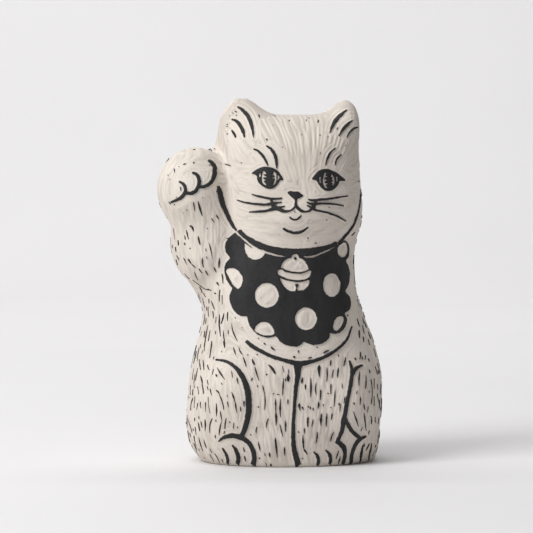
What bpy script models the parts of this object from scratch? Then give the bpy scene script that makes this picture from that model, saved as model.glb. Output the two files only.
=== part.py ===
"""Beckoning cat figurine: press-moulded clay halves, a base slab, and the black slip left on its surface.

Axes: +Z up, the cat's face looks along -Y, its raised right paw is on -X. Metres; the named sizes are in mm.
"""

import bpy
import bmesh
import math
import numpy as np
from mathutils import Matrix, Vector
from mathutils.geometry import delaunay_2d_cdt

MM = 0.001

# Where the middle of the footprint lies in the drawing's own axes.
MIDDLE = (-0.61, 0.61)

# The body's outline at a run of heights: height, cat's right, cat's left, front, back, squareness.
SECTIONS = np.array([
    (-12.0, -25.3, 39.9, -27.0, 26.0, 2.00),
    (0.0, -28.3, 42.9, -29.5, 29.5, 2.00),
    (7.0, -32.6, 44.6, -31.6, 32.0, 2.25),
    (16.0, -34.1, 45.0, -33.0, 34.0, 2.30),
    (26.0, -33.2, 45.3, -33.2, 34.5, 2.30),
    (37.0, -32.2, 45.1, -32.6, 33.5, 2.25),
    (48.0, -29.7, 42.3, -31.8, 31.0, 2.20),
    (60.0, -27.6, 37.9, -30.8, 28.2, 2.20),
    (70.0, -27.5, 34.8, -29.8, 26.5, 2.20),
    (80.0, -25.0, 33.8, -29.0, 25.5, 2.20),
    (89.0, -22.5, 34.6, -28.6, 25.5, 2.25),
    (99.0, -21.4, 37.0, -30.2, 27.0, 2.35),
    (110.0, -21.3, 36.6, -31.0, 28.0, 2.45),
    (121.0, -21.2, 35.8, -29.8, 27.3, 2.50),
    (131.0, -21.0, 35.9, -26.5, 24.5, 2.50),
    (141.0, -20.6, 36.3, -20.0, 19.0, 2.50),
    (155.0, -20.6, 36.0, -14.0, 14.0, 2.50)])

CROWN_HEIGHT = 141.1
CROWN_FALL = (0.0006, 0.012)
CROWN_MIDDLE = (8.0, -0.5)
CROWN_BLEND = 7.0
# Ears, as rises of the crown: x, y, rise, half width, half depth.
EARS = ((-12.2, -1.0, 6.9, 8.8, 8.5), (32.6, -1.0, 6.4, 8.5, 8.5))
# Bulges: centre, half axes, and how softly each one flows into what it joins.
MUZZLE = ((9.0, -22.0, 102.0), (14.0, 11.0, 9.0), 4.0)
HAUNCHES = (((-16.5, -10.0, 26.0), (14.5, 22.5, 24.0), 5.0),
            ((27.0, -10.0, 26.0), (15.5, 22.5, 24.0), 5.0))
SHOULDER = ((-22.9, -0.5, 86.8), (17.3, 18.0, 16.4))
UPPER_ARM = ((-25.4, -2.0, 100.0), (15.4, 17.0, 20.0), 5.0)
PAW = ((-31.2, -5.0, 110.9), (15.4, 17.0, 16.8), 4.0)
ARM_BLEND = 4.0
# Behind the arm the clay is filled in more softly, over this range of depth.
ARM_BACK = (-2.0, 10.0)
ARM_BACK_BLEND = 14.0

# The upright line inside the body that every surface point is measured from.
CORE_XY = (6.0, 0.0)
CORE_TOP = 104.0
CORE_FOOT = -5.0
REACH = 80.0
# Faces round the body, rows up its side, rows over its crown.
SHELL_GRID = (56, 22, 12)
CAVITY_GRID = (30, 12, 7)

WALL = 4.2
CAVITY_FLOOR = -2.0
SEAM_Y = 0.5
SEAM_GAP = 0.3
FIT_GAP = 0.3

BASE_BOTTOM = 1.0
BASE_TOP = 5.0
VENT_RADIUS = 6.5
VENT_XY = (6.5, 2.0)

SLIP_LIFT = 0.3
SLIP_THICKNESS = 0.4
SLIP_DEPTH = (3.0, 70.0)
SLIP_FOOT = 0.6
STROKE_STEPS = 2
OUTLINE_STEPS = 1

CLAY_COLOUR = (0.70, 0.64, 0.56, 1.0)
BASE_COLOUR = (0.62, 0.56, 0.48, 1.0)
SLIP_COLOUR = (0.022, 0.022, 0.024, 1.0)

# The black slip, one entry for each connected mark. A mark is drawn flat, seen from the heading `facing`
# (degrees, 0 looks along +Y), as (across, height): strokes are centre lines with widths, areas are closed
# outlines, and holes, rounds (across, height, half width, half height) and cuts are scraped back to clay.
ISLANDS = {
    "right_ear_line_inner": dict(facing=-8,
        strokes=[
            [(-13.1, 144.2, 0.49), (-11.3, 142.9, 1.06), (-9.2, 140.7, 1.35), (-7.7, 137.4, 1.27),
             (-6.9, 134.2, 0.82), (-6.7, 131.8, 0.33)],
        ]),
    "right_ear_line_middle": dict(facing=-8,
        strokes=[
            [(-15.4, 139, 0.37), (-13.4, 138.1, 1.06), (-11.8, 136.1, 1.31), (-10.7, 133.8, 1.06),
             (-10.3, 131.8, 0.33)],
        ]),
    "right_ear_line_outer": dict(facing=-8,
        strokes=[
            [(-15.4, 134.6, 0.41), (-14.5, 133.2, 0.9), (-13.8, 131.7, 0.33)],
        ]),
    "left_ear_line_inner": dict(facing=-8,
        strokes=[
            [(31.1, 142.9, 0.33), (28.9, 141.1, 1.15), (26.5, 138.6, 1.31), (24.9, 136.1, 0.98),
             (24, 133.6, 0.29)],
        ]),
    "left_ear_line_middle": dict(facing=-8,
        strokes=[
            [(33.3, 138.6, 0.33), (31.3, 137, 0.82), (29.5, 135.2, 0.9), (27.6, 132.5, 0.29)],
        ]),
    "left_ear_line_outer": dict(facing=-8,
        strokes=[
            [(35.4, 135.8, 0.41), (33.8, 135.3, 0.65), (32.1, 133.7, 0.7), (31, 131.8, 0.25)],
        ]),
    "right_brow_outer": dict(facing=-8,
        strokes=[
            [(-6.5, 127.1, 0.33), (-4.5, 126.1, 0.61), (-2.7, 124.1, 0.82), (-1.7, 122.3, 0.74),
             (-0.9, 120.6, 0.29)],
        ]),
    "right_brow_inner": dict(facing=-8,
        strokes=[
            [(-1.5, 128.4, 0.33), (0.3, 127.1, 0.82), (1.8, 124.8, 1.15), (2.5, 122.1, 0.9),
             (2.6, 119.5, 0.33)],
        ]),
    "left_brow_inner": dict(facing=-8,
        strokes=[
            [(26.1, 127.4, 0.25), (24.4, 126, 0.57), (23.1, 123.8, 0.7), (22.2, 120.8, 0.25)],
        ]),
    "left_brow_outer": dict(facing=-8,
        strokes=[
            [(28.5, 124.8, 0.25), (27.3, 123.8, 0.57), (26.4, 122.4, 0.61), (26.1, 120.7, 0.25)],
        ]),
    "right_eye": dict(facing=-8,
        areas=[
            [(-7.24, 117.36), (-6.56, 118.08), (-5.56, 118.76), (-4.29, 119.48), (-2.94, 119.88),
             (-1.31, 119.96), (0.16, 119.76), (1.51, 119.29), (2.9, 118.53), (3.89, 117.38),
             (4.65, 116.11), (5.09, 115), (4.77, 114.73), (3.89, 114.65), (3.26, 113.54),
             (2.15, 112.15), (0.92, 111.43), (-0.32, 111.27), (-1.83, 111.66), (-3.3, 112.65),
             (-4.45, 113.76), (-5.05, 114.99), (-5.17, 116.18), (-5.8, 116.85), (-6.68, 117.16)],
        ],
        holes=[
            [(-4.41, 116.86), (-4.17, 117.49), (-3.85, 117.1), (-3.85, 116.18), (-4.17, 115.94),
             (-4.37, 116.38)],
            [(-2.7, 118.29), (-2.26, 118.01), (-1.47, 117.18), (-2.26, 117.18), (-2.7, 116.94),
             (-2.7, 116.62), (-1.59, 116.19), (-1.51, 115.83), (-2.58, 115.99), (-2.7, 115.63),
             (-2.7, 115.23), (-1.83, 114.8), (-2.26, 114.56), (-2.58, 114.4), (-2.26, 113.73),
             (-1.51, 112.97), (-1.83, 112.73), (-2.58, 113.13), (-3.18, 114.12), (-3.38, 115.23),
             (-3.26, 116.74), (-2.98, 117.85)],
            [(1.15, 117.78), (1.65, 117.98), (2.15, 117.38), (2.39, 116.25), (2.44, 114.77),
             (2.15, 113.66), (1.51, 112.9), (1.19, 112.9), (1.65, 114.01), (1.85, 115),
             (1.83, 115.46), (0.96, 115.52), (0.8, 115.72), (1.39, 115.99), (1.87, 116.07),
             (1.83, 116.63), (0.92, 116.79), (0.8, 117.05), (1.31, 117.18)],
            [(3.02, 116.63), (3.44, 116.25), (3.58, 115.76), (3.26, 115.12), (2.78, 114.81),
             (2.7, 115.16), (3.02, 115.52), (3.14, 116)],
        ]),
    "left_eye": dict(facing=-8,
        areas=[
            [(16.71, 115.38), (17.18, 116.1), (18.06, 117.09), (19.07, 118.08), (20.19, 118.75),
             (21.43, 119.02), (23.2, 119.06), (24.45, 118.57), (26.1, 117.81), (27.36, 117.04),
             (28.37, 116.04), (29.39, 115.31), (29.96, 114.67), (29.8, 114.35), (28.37, 114.32),
             (27.62, 114.05), (27.11, 112.82), (26.09, 111.6), (24.72, 110.65), (23.31, 110.42),
             (21.94, 110.63), (20.56, 111.52), (19.56, 112.75), (18.82, 113.99), (18.18, 114.66),
             (17.3, 114.79), (16.78, 114.95)],
        ],
        holes=[
            [(19.62, 115.49), (19.86, 115.85), (20.18, 115.61), (20.06, 114.74), (20.26, 113.74),
             (19.94, 113.62), (19.62, 114.1), (19.74, 114.5), (19.56, 114.98)],
            [(21.95, 117.59), (22.27, 117.21), (22.07, 116.6), (22.71, 116.16), (22.31, 115.92),
             (21.77, 115.6), (21.62, 114.97), (22.43, 114.73), (22.31, 114.43), (21.7, 114.23),
             (21.62, 113.94), (21.94, 113.44), (22.95, 113.29), (22.63, 113.03), (22.18, 112.86),
             (22.3, 112.24), (22.71, 111.86), (22.3, 111.55), (21.7, 111.99), (21.18, 112.98),
             (20.94, 114.24), (21.06, 115.49), (21.37, 116.72)],
            [(24.32, 116.59), (24.73, 116.94), (25.13, 116.46), (25.59, 115.46), (25.65, 114.21),
             (25.53, 113.07), (25.12, 112.36), (24.78, 112.6), (24.84, 113.08), (25.08, 113.36),
             (24.52, 113.6), (24.52, 113.88), (25.08, 114.07), (25.08, 114.59), (24.68, 114.75),
             (24.58, 115.01), (24.96, 115.21), (24.88, 115.71), (24.2, 115.83), (24.08, 116.03),
             (24.64, 116.21)],
            [(26.34, 115.82), (26.75, 115.99), (26.99, 115.33), (26.86, 114.46), (26.46, 114.06),
             (26.4, 114.7)],
        ]),
    "muzzle_lines": dict(facing=-8,
        strokes=[
            [(10.24, 107.43, 0.82), (10.2, 106.05, 0.74), (10.12, 104.63, 1.15)],
            [(10.2, 104.95, 0.74), (9.72, 104.08, 0.74), (8.85, 103.13, 0.65), (7.82, 102.57, 0.7),
             (6.51, 102.37, 0.98), (5.12, 102.48, 1.27), (3.69, 103.19, 1.55), (2.27, 103.77, 1.72),
             (1.15, 104.36, 1.47)],
            [(10.12, 104.95, 0.74), (10.51, 104.16, 1.15), (11.31, 103.37, 1.19),
             (12.18, 102.69, 1.1), (13.45, 102.25, 0.78), (14.68, 102.29, 0.78),
             (15.72, 102.68, 0.86), (16.6, 103.43, 1.15), (17.28, 104.21, 1.23)],
            [(-7.24, 109.05, 0.33), (-5.6, 108.54, 0.57), (-4.01, 108.19, 0.74),
             (-1.86, 107.73, 0.74), (-0.04, 107.38, 0.78), (1.63, 107.3, 0.7), (3.26, 107.39, 0.61),
             (4.73, 107.55, 0.61)],
            [(-13.26, 106.69, 0.33), (-10.2, 105.82, 0.53), (-7.2, 105.34, 0.74),
             (-4.01, 105.05, 0.82), (-2.02, 104.94, 0.82), (-0.04, 105.23, 1.15),
             (1.39, 105.52, 1.15), (2.7, 105.76, 0.74), (3.62, 105.84, 0.53), (4.61, 106.04, 0.37)],
            [(-8.44, 101.97, 0.33), (-6.41, 102.08, 0.61), (-4.01, 102.22, 0.82),
             (-2.02, 102.43, 0.9), (-0.35, 102.84, 1.02), (1.08, 103.21, 1.31), (2.98, 103.66, 1.15),
             (4.49, 104.1, 0.61), (5.84, 104.43, 0.33)],
            [(0.32, 107.38, 0.74), (0.64, 106.11, 0.9), (1.11, 104.92, 1.47), (1.43, 103.93, 1.8),
             (1.15, 103.01, 1.15)],
            [(31.2, 108.25, 0.37), (27.31, 107.75, 0.61), (22.26, 107.1, 0.78), (19.85, 107, 0.78),
             (18.01, 106.81, 0.78), (16.61, 106.82, 0.57), (15.21, 107.11, 0.37)],
            [(29.48, 104.32, 0.33), (25.89, 105.06, 0.57), (22.25, 105.39, 0.65),
             (19.84, 105.42, 0.65), (18.16, 105.27, 0.9), (16.84, 105.28, 0.9), (15.69, 105.53, 0.61),
             (14.61, 106.04, 0.33)],
            [(30.25, 98.24, 0.37), (27.33, 99.96, 0.61), (24.68, 101.1, 0.7), (22.25, 101.9, 0.7),
             (19.84, 102.45, 0.7), (17.99, 102.86, 0.78), (16.6, 103.5, 1.06), (15.68, 104.22, 0.53),
             (14.61, 104.86, 0.33)],
            [(18.09, 107.05, 0.82), (18, 105.91, 1.02), (17.44, 104.76, 1.23), (17.16, 103.78, 1.47),
             (17.32, 102.87, 0.98)],
        ],
        areas=[
            [(6.91, 109.81), (7.59, 110.32), (8.58, 110.36), (9.57, 110.12), (10.89, 110.16),
             (11.88, 109.68), (12.55, 109.17), (13.19, 108.77), (12.87, 108.42), (11.87, 107.83),
             (10.92, 107.31), (10.64, 106.88), (9.89, 106.88), (9.05, 107.59), (8.22, 108.34),
             (7.41, 109.17)],
        ]),
    "lip_mark": dict(facing=-8,
        strokes=[
            [(7.78, 100.02, 0.33), (8.73, 99.27, 0.49), (9.73, 99.07, 0.57), (10.88, 99.27, 0.57),
             (11.79, 99.95, 0.53), (12.38, 100.82, 0.37)],
        ]),
    "chin_mark": dict(facing=-8,
        strokes=[
            [(5.2, 95.6, 0.49), (6.6, 94.7, 0.74), (8.1, 94.1, 0.86), (9.6, 93.7, 0.94),
             (11.2, 93.7, 0.94), (12.7, 94.2, 0.82), (13.9, 95, 0.7), (15.2, 95.9, 0.37)],
        ]),
    "right_jaw_line": dict(facing=-30,
        strokes=[
            [(-10.6, 112.3, 0.49), (-10.1, 109.4, 1.06), (-9.4, 105.1, 1.31), (-7.7, 99.9, 1.31),
             (-5.8, 96.3, 1.06), (-4.3, 94.5, 0.57)],
        ]),
    "left_jaw_line": dict(facing=28,
        strokes=[
            [(24.3, 110.7, 0.41), (22.9, 106.7, 0.82), (21, 102.3, 1.06), (18.3, 97.4, 1.23),
             (15.3, 93.7, 1.23), (12.4, 90.9, 1.06), (10.4, 89.2, 0.53)],
        ]),
    "collar_and_bib": dict(facing=-2,
        areas=[
            [(-14.2, 94.8), (-12.5, 93), (-10.5, 91.7), (-7.2, 90), (-3.2, 88.5), (1.4, 87.7),
             (6.4, 87.3), (11.7, 87.5), (16.9, 88), (20.6, 88.6), (24.2, 89.8), (24.9, 88.4),
             (27.7, 90.3), (29.7, 88.7), (30.4, 86.3), (30, 83.8), (28.6, 82), (30.2, 79.4),
             (30.7, 75.5), (29.8, 71.9), (28.2, 69.8), (30.3, 67.5), (30.6, 64.4), (29.6, 62.3),
             (27.6, 61.1), (28.5, 59), (27.8, 56.2), (25.7, 54), (23.2, 53.3), (21, 53.6),
             (20.6, 51.8), (18.7, 50.1), (15.9, 49.2), (12.9, 49.4), (10.3, 50.5), (8.7, 49),
             (6.3, 48.6), (3.3, 49.2), (0.7, 50.7), (-1.1, 52.7), (-3.1, 52.2), (-5.6, 52.3),
             (-8.3, 53.6), (-10.6, 56.2), (-11.6, 58.5), (-12.2, 60.5), (-14.3, 60.6), (-16.7, 62.3),
             (-18.2, 65.4), (-18.5, 68.4), (-17.7, 71.2), (-19.3, 72.5), (-20.6, 75.1), (-20.9, 78.3),
             (-20.3, 81.5), (-18.6, 83.7), (-19.8, 85.8), (-20, 88.7), (-18.7, 91.4), (-16.7, 93.1),
             (-15.7, 93.7)],
        ],
        holes=[
            [(-12.5, 89.5), (-10.4, 88), (-7.6, 86.6), (-4.9, 85.9), (-5.8, 84.2), (-7.4, 83.1),
             (-9.4, 83), (-11.5, 84.1), (-12.6, 86.3), (-12.8, 88.2)],
            [(-21.3, 79), (-19.2, 79.3), (-16.9, 79.4), (-15, 78.7), (-13.8, 76.7), (-13.7, 74.5),
             (-14.4, 72.5), (-15.6, 71.5), (-17.5, 72.3), (-18.9, 73.8), (-19.7, 75.8), (-19.9, 77.2),
             (-21.3, 77.5)],
            [(-9.3, 55.1), (-8.2, 57.1), (-6.3, 58.3), (-4, 58), (-2.2, 56.2), (-1.4, 53.9),
             (-2.4, 53.2), (-5, 52.9), (-7.5, 53.7)],
            [(22.6, 55.1), (22.5, 57), (23.3, 58.9), (24.8, 59.9), (26.6, 60), (27.3, 59),
             (26.6, 57.1), (25.2, 55.4), (23.8, 54.4)],
            [(24.7, 86.2), (25.2, 88), (27, 89.3), (28.4, 89.5), (29.5, 87.7), (29.5, 85.3),
             (27.9, 83.5), (26.2, 83.8), (25, 85.1)],
            [(1.3, 79.8), (1.5, 80.6), (2, 81.7), (3.1, 82.9), (4.5, 83.6), (5.6, 83.8), (5.8, 84.4),
             (6.2, 85), (7, 85.2), (7.8, 85.1), (8.4, 84.5), (8.7, 83.7), (9.5, 83.5), (10.6, 82.7),
             (11.4, 81.7), (12.1, 80.4), (12.4, 79.5), (12.2, 79), (11.1, 78.5), (9.8, 78.2),
             (7.9, 78.1), (6.3, 78.2), (4.4, 78.7), (2.9, 79.2), (1.9, 79.6)],
            [(-0.1, 78.1), (0.2, 78.8), (0.9, 79.1), (1.9, 79), (3, 78.2), (4.4, 77.8), (6.2, 77.5),
             (8.2, 77.4), (9.8, 77.6), (11.3, 78), (12.4, 78.5), (13.5, 78.4), (13.6, 78),
             (13.3, 77.1), (12.8, 76.2), (11.7, 75.5), (10.6, 75.1), (8.9, 74.9), (7, 74.9),
             (5.2, 75.2), (3.6, 75.6), (2.1, 76.2), (0.9, 76.8), (0.2, 77.3)],
            [(1, 75.7), (2.1, 75.3), (3.4, 74.9), (4.9, 74.5), (7, 74.2), (9.2, 74.2), (10.9, 74.5),
             (12.6, 74.9), (12.8, 74.1), (12.3, 73), (11.7, 72), (10.8, 71.2), (9.8, 70.8),
             (8.7, 70.8), (7.9, 70.7), (7.8, 71.6), (8, 72.4), (8.4, 73), (8.2, 73.3), (7.3, 73.4),
             (7, 73.1), (7.3, 72.3), (7.3, 71.1), (6.8, 70.5), (5.7, 70.5), (4.3, 71), (3, 71.9),
             (2, 73.1), (1.3, 74.3)],
        ],
        cuts=[
            [(-16.8, 94.9, 0.98), (-15.6, 93.5, 0.98), (-13.9, 91.9, 0.94), (-12.2, 90.3, 0.98),
             (-9.7, 88.2, 1.02), (-6.8, 86.7, 1.02), (-3.9, 85.8, 1.02), (-0.6, 84.8, 0.9),
             (3.3, 84.2, 0.37)],
            [(10.2, 84.3, 0.37), (12.4, 84, 0.78), (15.3, 84.4, 0.78), (18.1, 85.5, 0.74),
             (20.8, 86.5, 0.7), (23.5, 87.8, 0.41)],
        ],
        rounds=[(-4.4, 68.9, 4.7, 4.9), (22.3, 72.6, 3.9, 4.7), (11.2, 59.5, 4.4, 4.5)]),
    "bell_loop_dot": dict(facing=-8,
        areas=[
            [(10.57, 83.51), (10.4, 83.09), (10.01, 82.92), (9.62, 83.1), (9.45, 83.52),
             (9.62, 83.93), (10.01, 84.11), (10.4, 83.93)],
        ]),
    "chest_and_foreleg_line": dict(facing=-5,
        strokes=[
            [(-11.1, 50.6, 1.06), (-9.2, 49, 1.39), (-5.8, 47, 1.39), (-0.7, 44.6, 1.31),
             (4.9, 42.9, 1.39), (9.9, 41.8, 2.04), (14.9, 42.5, 1.47), (20.6, 44.4, 1.23),
             (25.6, 47.2, 1.06), (29.3, 50.5, 0.82), (31.9, 55.9, 0.37)],
            [(9.5, 42.2, 4.5), (9.4, 39.8, 2.78), (9.2, 36, 1.88), (8.4, 30.5, 1.31),
             (7.9, 23.3, 1.19), (7.5, 15.3, 1.31), (7.9, 8, 1.72), (9.4, 2.2, 2.29), (9.8, 1, 2.29)],
        ]),
    "right_haunch_line": dict(facing=-22,
        strokes=[
            [(-15, 42.9, 0.41), (-12.2, 42.8, 0.74), (-8.9, 42, 0.98), (-5.4, 39.8, 1.31),
             (-2.6, 36.4, 1.72), (-0.6, 31.3, 1.96), (0, 25.9, 1.96), (-0.3, 21.1, 1.88),
             (-1.6, 16.3, 1.72), (-3.5, 12.2, 1.8)],
            [(-13.3, 10.4, 0.41), (-10.5, 12.2, 1.23), (-7, 13, 1.8), (-3.5, 12.3, 1.88),
             (-0.7, 10.2, 1.8), (0.8, 7, 1.72), (0.8, 3.4, 1.72), (0, 1, 2.04)],
        ]),
    "right_toe_line_inner": dict(facing=-22,
        strokes=[
            [(-7.3, 9, 0.41), (-6.2, 6.8, 1.31), (-5.8, 3.5, 1.55), (-6.7, 1, 1.47)],
        ]),
    "right_toe_line_outer": dict(facing=-22,
        strokes=[
            [(-12.1, 7.6, 0.37), (-10.9, 5.3, 0.98), (-10.7, 2.5, 1.15), (-11.2, 1, 0.82)],
        ]),
    "left_foreleg_and_foot_line": dict(facing=15,
        strokes=[
            [(19.7, 42.5, 0.57), (20.2, 39.4, 1.23), (19.5, 35.4, 1.39), (18.2, 30.8, 1.31),
             (16.9, 25.4, 1.39), (16.2, 19.6, 1.55), (15.7, 14.5, 1.47), (14.4, 10.4, 1.31)],
            [(13.7, 10.3, 1.15), (16.2, 8.8, 1.72), (18.1, 6.5, 1.64), (18.8, 3.3, 1.47),
             (18.5, 1, 1.55)],
            [(25.8, 40.4, 0.49), (22.9, 39.7, 1.23), (20.9, 38.1, 1.23), (19.7, 35.8, 0.98)],
            [(16.2, 20.4, 1.06), (17.6, 17.6, 1.31), (19.9, 14.4, 1.31), (22.9, 12.1, 1.31),
             (25, 10.7, 1.23)],
            [(27.8, 11.6, 0.57), (24.7, 10.7, 1.55), (22.7, 8.4, 1.64), (22.1, 4.8, 1.47),
             (22.6, 1, 1.55)],
        ]),
    "left_fore_toe_line_inner": dict(facing=0,
        strokes=[
            [(13.2, 6.4, 0.41), (14.8, 4.6, 1.15), (15.4, 2.4, 1.23), (15.2, 1, 1.15)],
        ]),
    "left_fore_toe_line_outer": dict(facing=0,
        strokes=[
            [(18.2, 6.8, 0.41), (19.9, 5, 1.15), (20.5, 2.6, 1.23), (20.1, 1, 1.15)],
        ]),
    "left_toe_line_inner": dict(facing=35,
        strokes=[
            [(14.1, 7.9, 0.41), (14.9, 4.9, 1.23), (16.5, 1, 0.98)],
        ]),
    "left_toe_line_outer": dict(facing=35,
        strokes=[
            [(20.1, 8.2, 0.37), (21.1, 4.8, 1.06), (22.6, 1, 0.74)],
        ]),
    "raised_paw_line": dict(facing=-14,
        strokes=[
            [(-22.4, 122.6, 0.57), (-20.8, 121.4, 1.15), (-19.7, 119.3, 1.39), (-19.8, 116.2, 1.39),
             (-21, 113.7, 1.31), (-23.1, 112.2, 1.23), (-25.6, 111.9, 0.98)],
            [(-28.3, 117.7, 0.49), (-26.6, 116.9, 1.15), (-25.5, 115.1, 1.31), (-25.5, 113.1, 1.31),
             (-26.3, 111, 1.39), (-28.3, 109.5, 1.31), (-31.2, 109.5, 0.98)],
            [(-33.5, 114.1, 0.49), (-31.8, 113.1, 1.06), (-30.9, 111.4, 1.23), (-31.2, 109.5, 1.31),
             (-33.2, 107.4, 1.31), (-37.1, 105.7, 0.65)],
        ]),
    "rear_collar_band": dict(facing=180,
        strokes=[
            [(-31, 93.2, 1.6), (-24, 91.2, 3.4), (-10, 89.4, 3.8), (4, 89.6, 3.8), (17, 92, 1.6)],
        ]),
    "tail_line": dict(facing=180,
        strokes=[
            [(-15.5, 3.4, 1.2), (-14.5, 14, 2.2), (-9.5, 27, 2.4), (-1, 37, 2.4), (8, 40.5, 2.4),
             (14.6, 36.5, 2.4), (15.2, 29, 2.4), (8.4, 24.2, 2.2), (2, 17, 2.2), (-0.8, 9, 2),
             (-1.2, 3.4, 1.2)],
        ]),
}


# ------------------------------------------------------------------ the clay form

def section_at(z, column):
    """One column of the section table at the heights z, as a smooth curve through the table."""
    heights, values = SECTIONS[:, 0], SECTIONS[:, column]
    slopes = np.gradient(values, heights)
    i = np.clip(np.searchsorted(heights, z) - 1, 0, len(heights) - 2)
    span = heights[i + 1] - heights[i]
    t = np.clip((z - heights[i]) / span, 0.0, 1.0)
    return ((2 * t**3 - 3 * t**2 + 1) * values[i] + (t**3 - 2 * t**2 + t) * span * slopes[i]
            + (3 * t**2 - 2 * t**3) * values[i + 1] + (t**3 - t**2) * span * slopes[i + 1])


def soft_join(a, b, blend):
    """The nearer of two distances, rounded where they meet."""
    h = np.clip(0.5 + 0.5 * (b - a) / blend, 0.0, 1.0)
    return b + (a - b) * h - blend * h * (1.0 - h)


def bulge(x, y, z, centre, radii):
    """Distance from an ellipsoid."""
    p = [x - centre[0], y - centre[1], z - centre[2]]
    near = np.sqrt(sum((v / r) ** 2 for v, r in zip(p, radii)))
    slope = np.sqrt(sum((v / r**2) ** 2 for v, r in zip(p, radii)))
    return near * (near - 1.0) / np.maximum(slope, 1e-9)


def form(x, y, z):
    """Distance from the clay's outer surface in mm, negative inside."""
    right, left, front, back, power = (section_at(z, column) for column in range(1, 6))
    dx = np.abs(x - (right + left) / 2) + 1e-6
    dy = np.abs(y - (front + back) / 2) + 1e-6
    ratio = ((2 * dx / (left - right)) ** power + (2 * dy / (back - front)) ** power) ** (1 / power)
    flank = np.hypot(dx, dy) * (1.0 - 1.0 / ratio)
    crown = CROWN_HEIGHT - CROWN_FALL[0] * (x - CROWN_MIDDLE[0]) ** 2 \
        - CROWN_FALL[1] * (y - CROWN_MIDDLE[1]) ** 2
    for ear_x, ear_y, rise, half_width, half_depth in EARS:
        sideways = np.abs((x - ear_x) / half_width) ** 2.3
        crown = crown + rise * np.exp(-sideways - ((y - ear_y) / half_depth) ** 2)
    body = -soft_join(-flank, -(z - crown) * 0.85, CROWN_BLEND)
    for centre, radii, blend in (MUZZLE, *HAUNCHES):
        body = soft_join(body, bulge(x, y, z, centre, radii), blend)
    arm = bulge(x, y, z, *SHOULDER)
    for centre, radii, blend in (UPPER_ARM, PAW):
        arm = soft_join(arm, bulge(x, y, z, centre, radii), blend)
    behind = np.clip((y - ARM_BACK[0]) / (ARM_BACK[1] - ARM_BACK[0]), 0.0, 1.0)
    return soft_join(body, arm, ARM_BLEND + ARM_BACK_BLEND * behind)


def on_form(origins, directions, level):
    """The points where rays from inside the body reach the surface `level` mm outside the clay."""
    low = np.full(len(origins), 1.0)
    high = np.full(len(origins), REACH)
    for _ in range(32):
        middle = (low + high) / 2
        inside = form(*(origins + directions * middle[:, None]).T) < level
        low = np.where(inside, middle, low)
        high = np.where(inside, high, middle)
    return origins + directions * ((low + high) / 2)[:, None]


# ------------------------------------------------------------------ meshes and Booleans

def new_object(name, mesh, collection):
    obj = bpy.data.objects.new(name, mesh)
    collection.objects.link(obj)
    return obj


def mesh_from(bm, name):
    bmesh.ops.recalc_face_normals(bm, faces=bm.faces)
    mesh = bpy.data.meshes.new(name)
    bm.to_mesh(mesh)
    bm.free()
    return mesh


def pulled_sphere(level, around, side_rows, dome_rows):
    """A sphere whose lower half is drawn down the core line and whose skin is then pulled onto the form."""
    bm = bmesh.new()
    rows = side_rows + dome_rows
    bmesh.ops.create_uvsphere(bm, u_segments=around, v_segments=rows, radius=1.0)
    points = np.array([v.co for v in bm.verts])
    row = np.round((0.5 + np.arcsin(np.clip(points[:, 2], -1, 1)) / math.pi) * rows)
    heading = np.arctan2(points[:, 1], points[:, 0])
    height = CORE_FOOT + (CORE_TOP - CORE_FOOT) * np.clip((row - 1) / (side_rows - 1), 0, 1)
    rise = np.clip((row - side_rows) / dome_rows, 0, 1) * math.pi / 2
    origins = np.stack([np.full(len(row), CORE_XY[0]), np.full(len(row), CORE_XY[1]), height], 1)
    directions = np.stack([np.cos(rise) * np.cos(heading), np.cos(rise) * np.sin(heading), np.sin(rise)], 1)
    pulled = np.where((row == 0)[:, None], origins, on_form(origins, directions, level))
    for vertex, place in zip(bm.verts, pulled):
        vertex.co = Vector(place) * MM
    bmesh.ops.triangulate(bm, faces=bm.faces, quad_method="FIXED")
    return bm


def trim_below(bm, height):
    """Cuts the mesh off flat at a height and closes the cut."""
    everything = bm.verts[:] + bm.edges[:] + bm.faces[:]
    cut = bmesh.ops.bisect_plane(bm, geom=everything, plane_co=(0, 0, height * MM), plane_no=(0, 0, -1),
                                 clear_outer=True)
    rim = [item for item in cut["geom_cut"] if isinstance(item, bmesh.types.BMEdge)]
    bmesh.ops.contextual_create(bm, geom=rim)


def pulled_object(name, level, counts, foot, collection):
    bm = pulled_sphere(level, *counts)
    trim_below(bm, foot)
    return new_object(name, mesh_from(bm, name), collection)


def block(name, low, high, collection):
    bm = bmesh.new()
    bmesh.ops.create_cube(bm, size=1.0)
    for vertex in bm.verts:
        vertex.co = Vector([(a + b) / 2 + c * (b - a) for a, b, c in zip(low, high, vertex.co)]) * MM
    return new_object(name, mesh_from(bm, name), collection)


def cylinder(name, centre, radius, low, high, collection):
    bm = bmesh.new()
    bmesh.ops.create_cone(bm, cap_ends=True, segments=40, radius1=radius * MM, radius2=radius * MM,
                          depth=(high - low) * MM)
    bmesh.ops.translate(bm, verts=bm.verts, vec=Vector((centre[0], centre[1], (low + high) / 2)) * MM)
    return new_object(name, mesh_from(bm, name), collection)


def boolean(obj, operation, cutter):
    modifier = obj.modifiers.new(operation.lower(), "BOOLEAN")
    modifier.operation = operation
    modifier.solver = "EXACT"
    modifier.object = cutter


# ------------------------------------------------------------------ the slip marks

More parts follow.
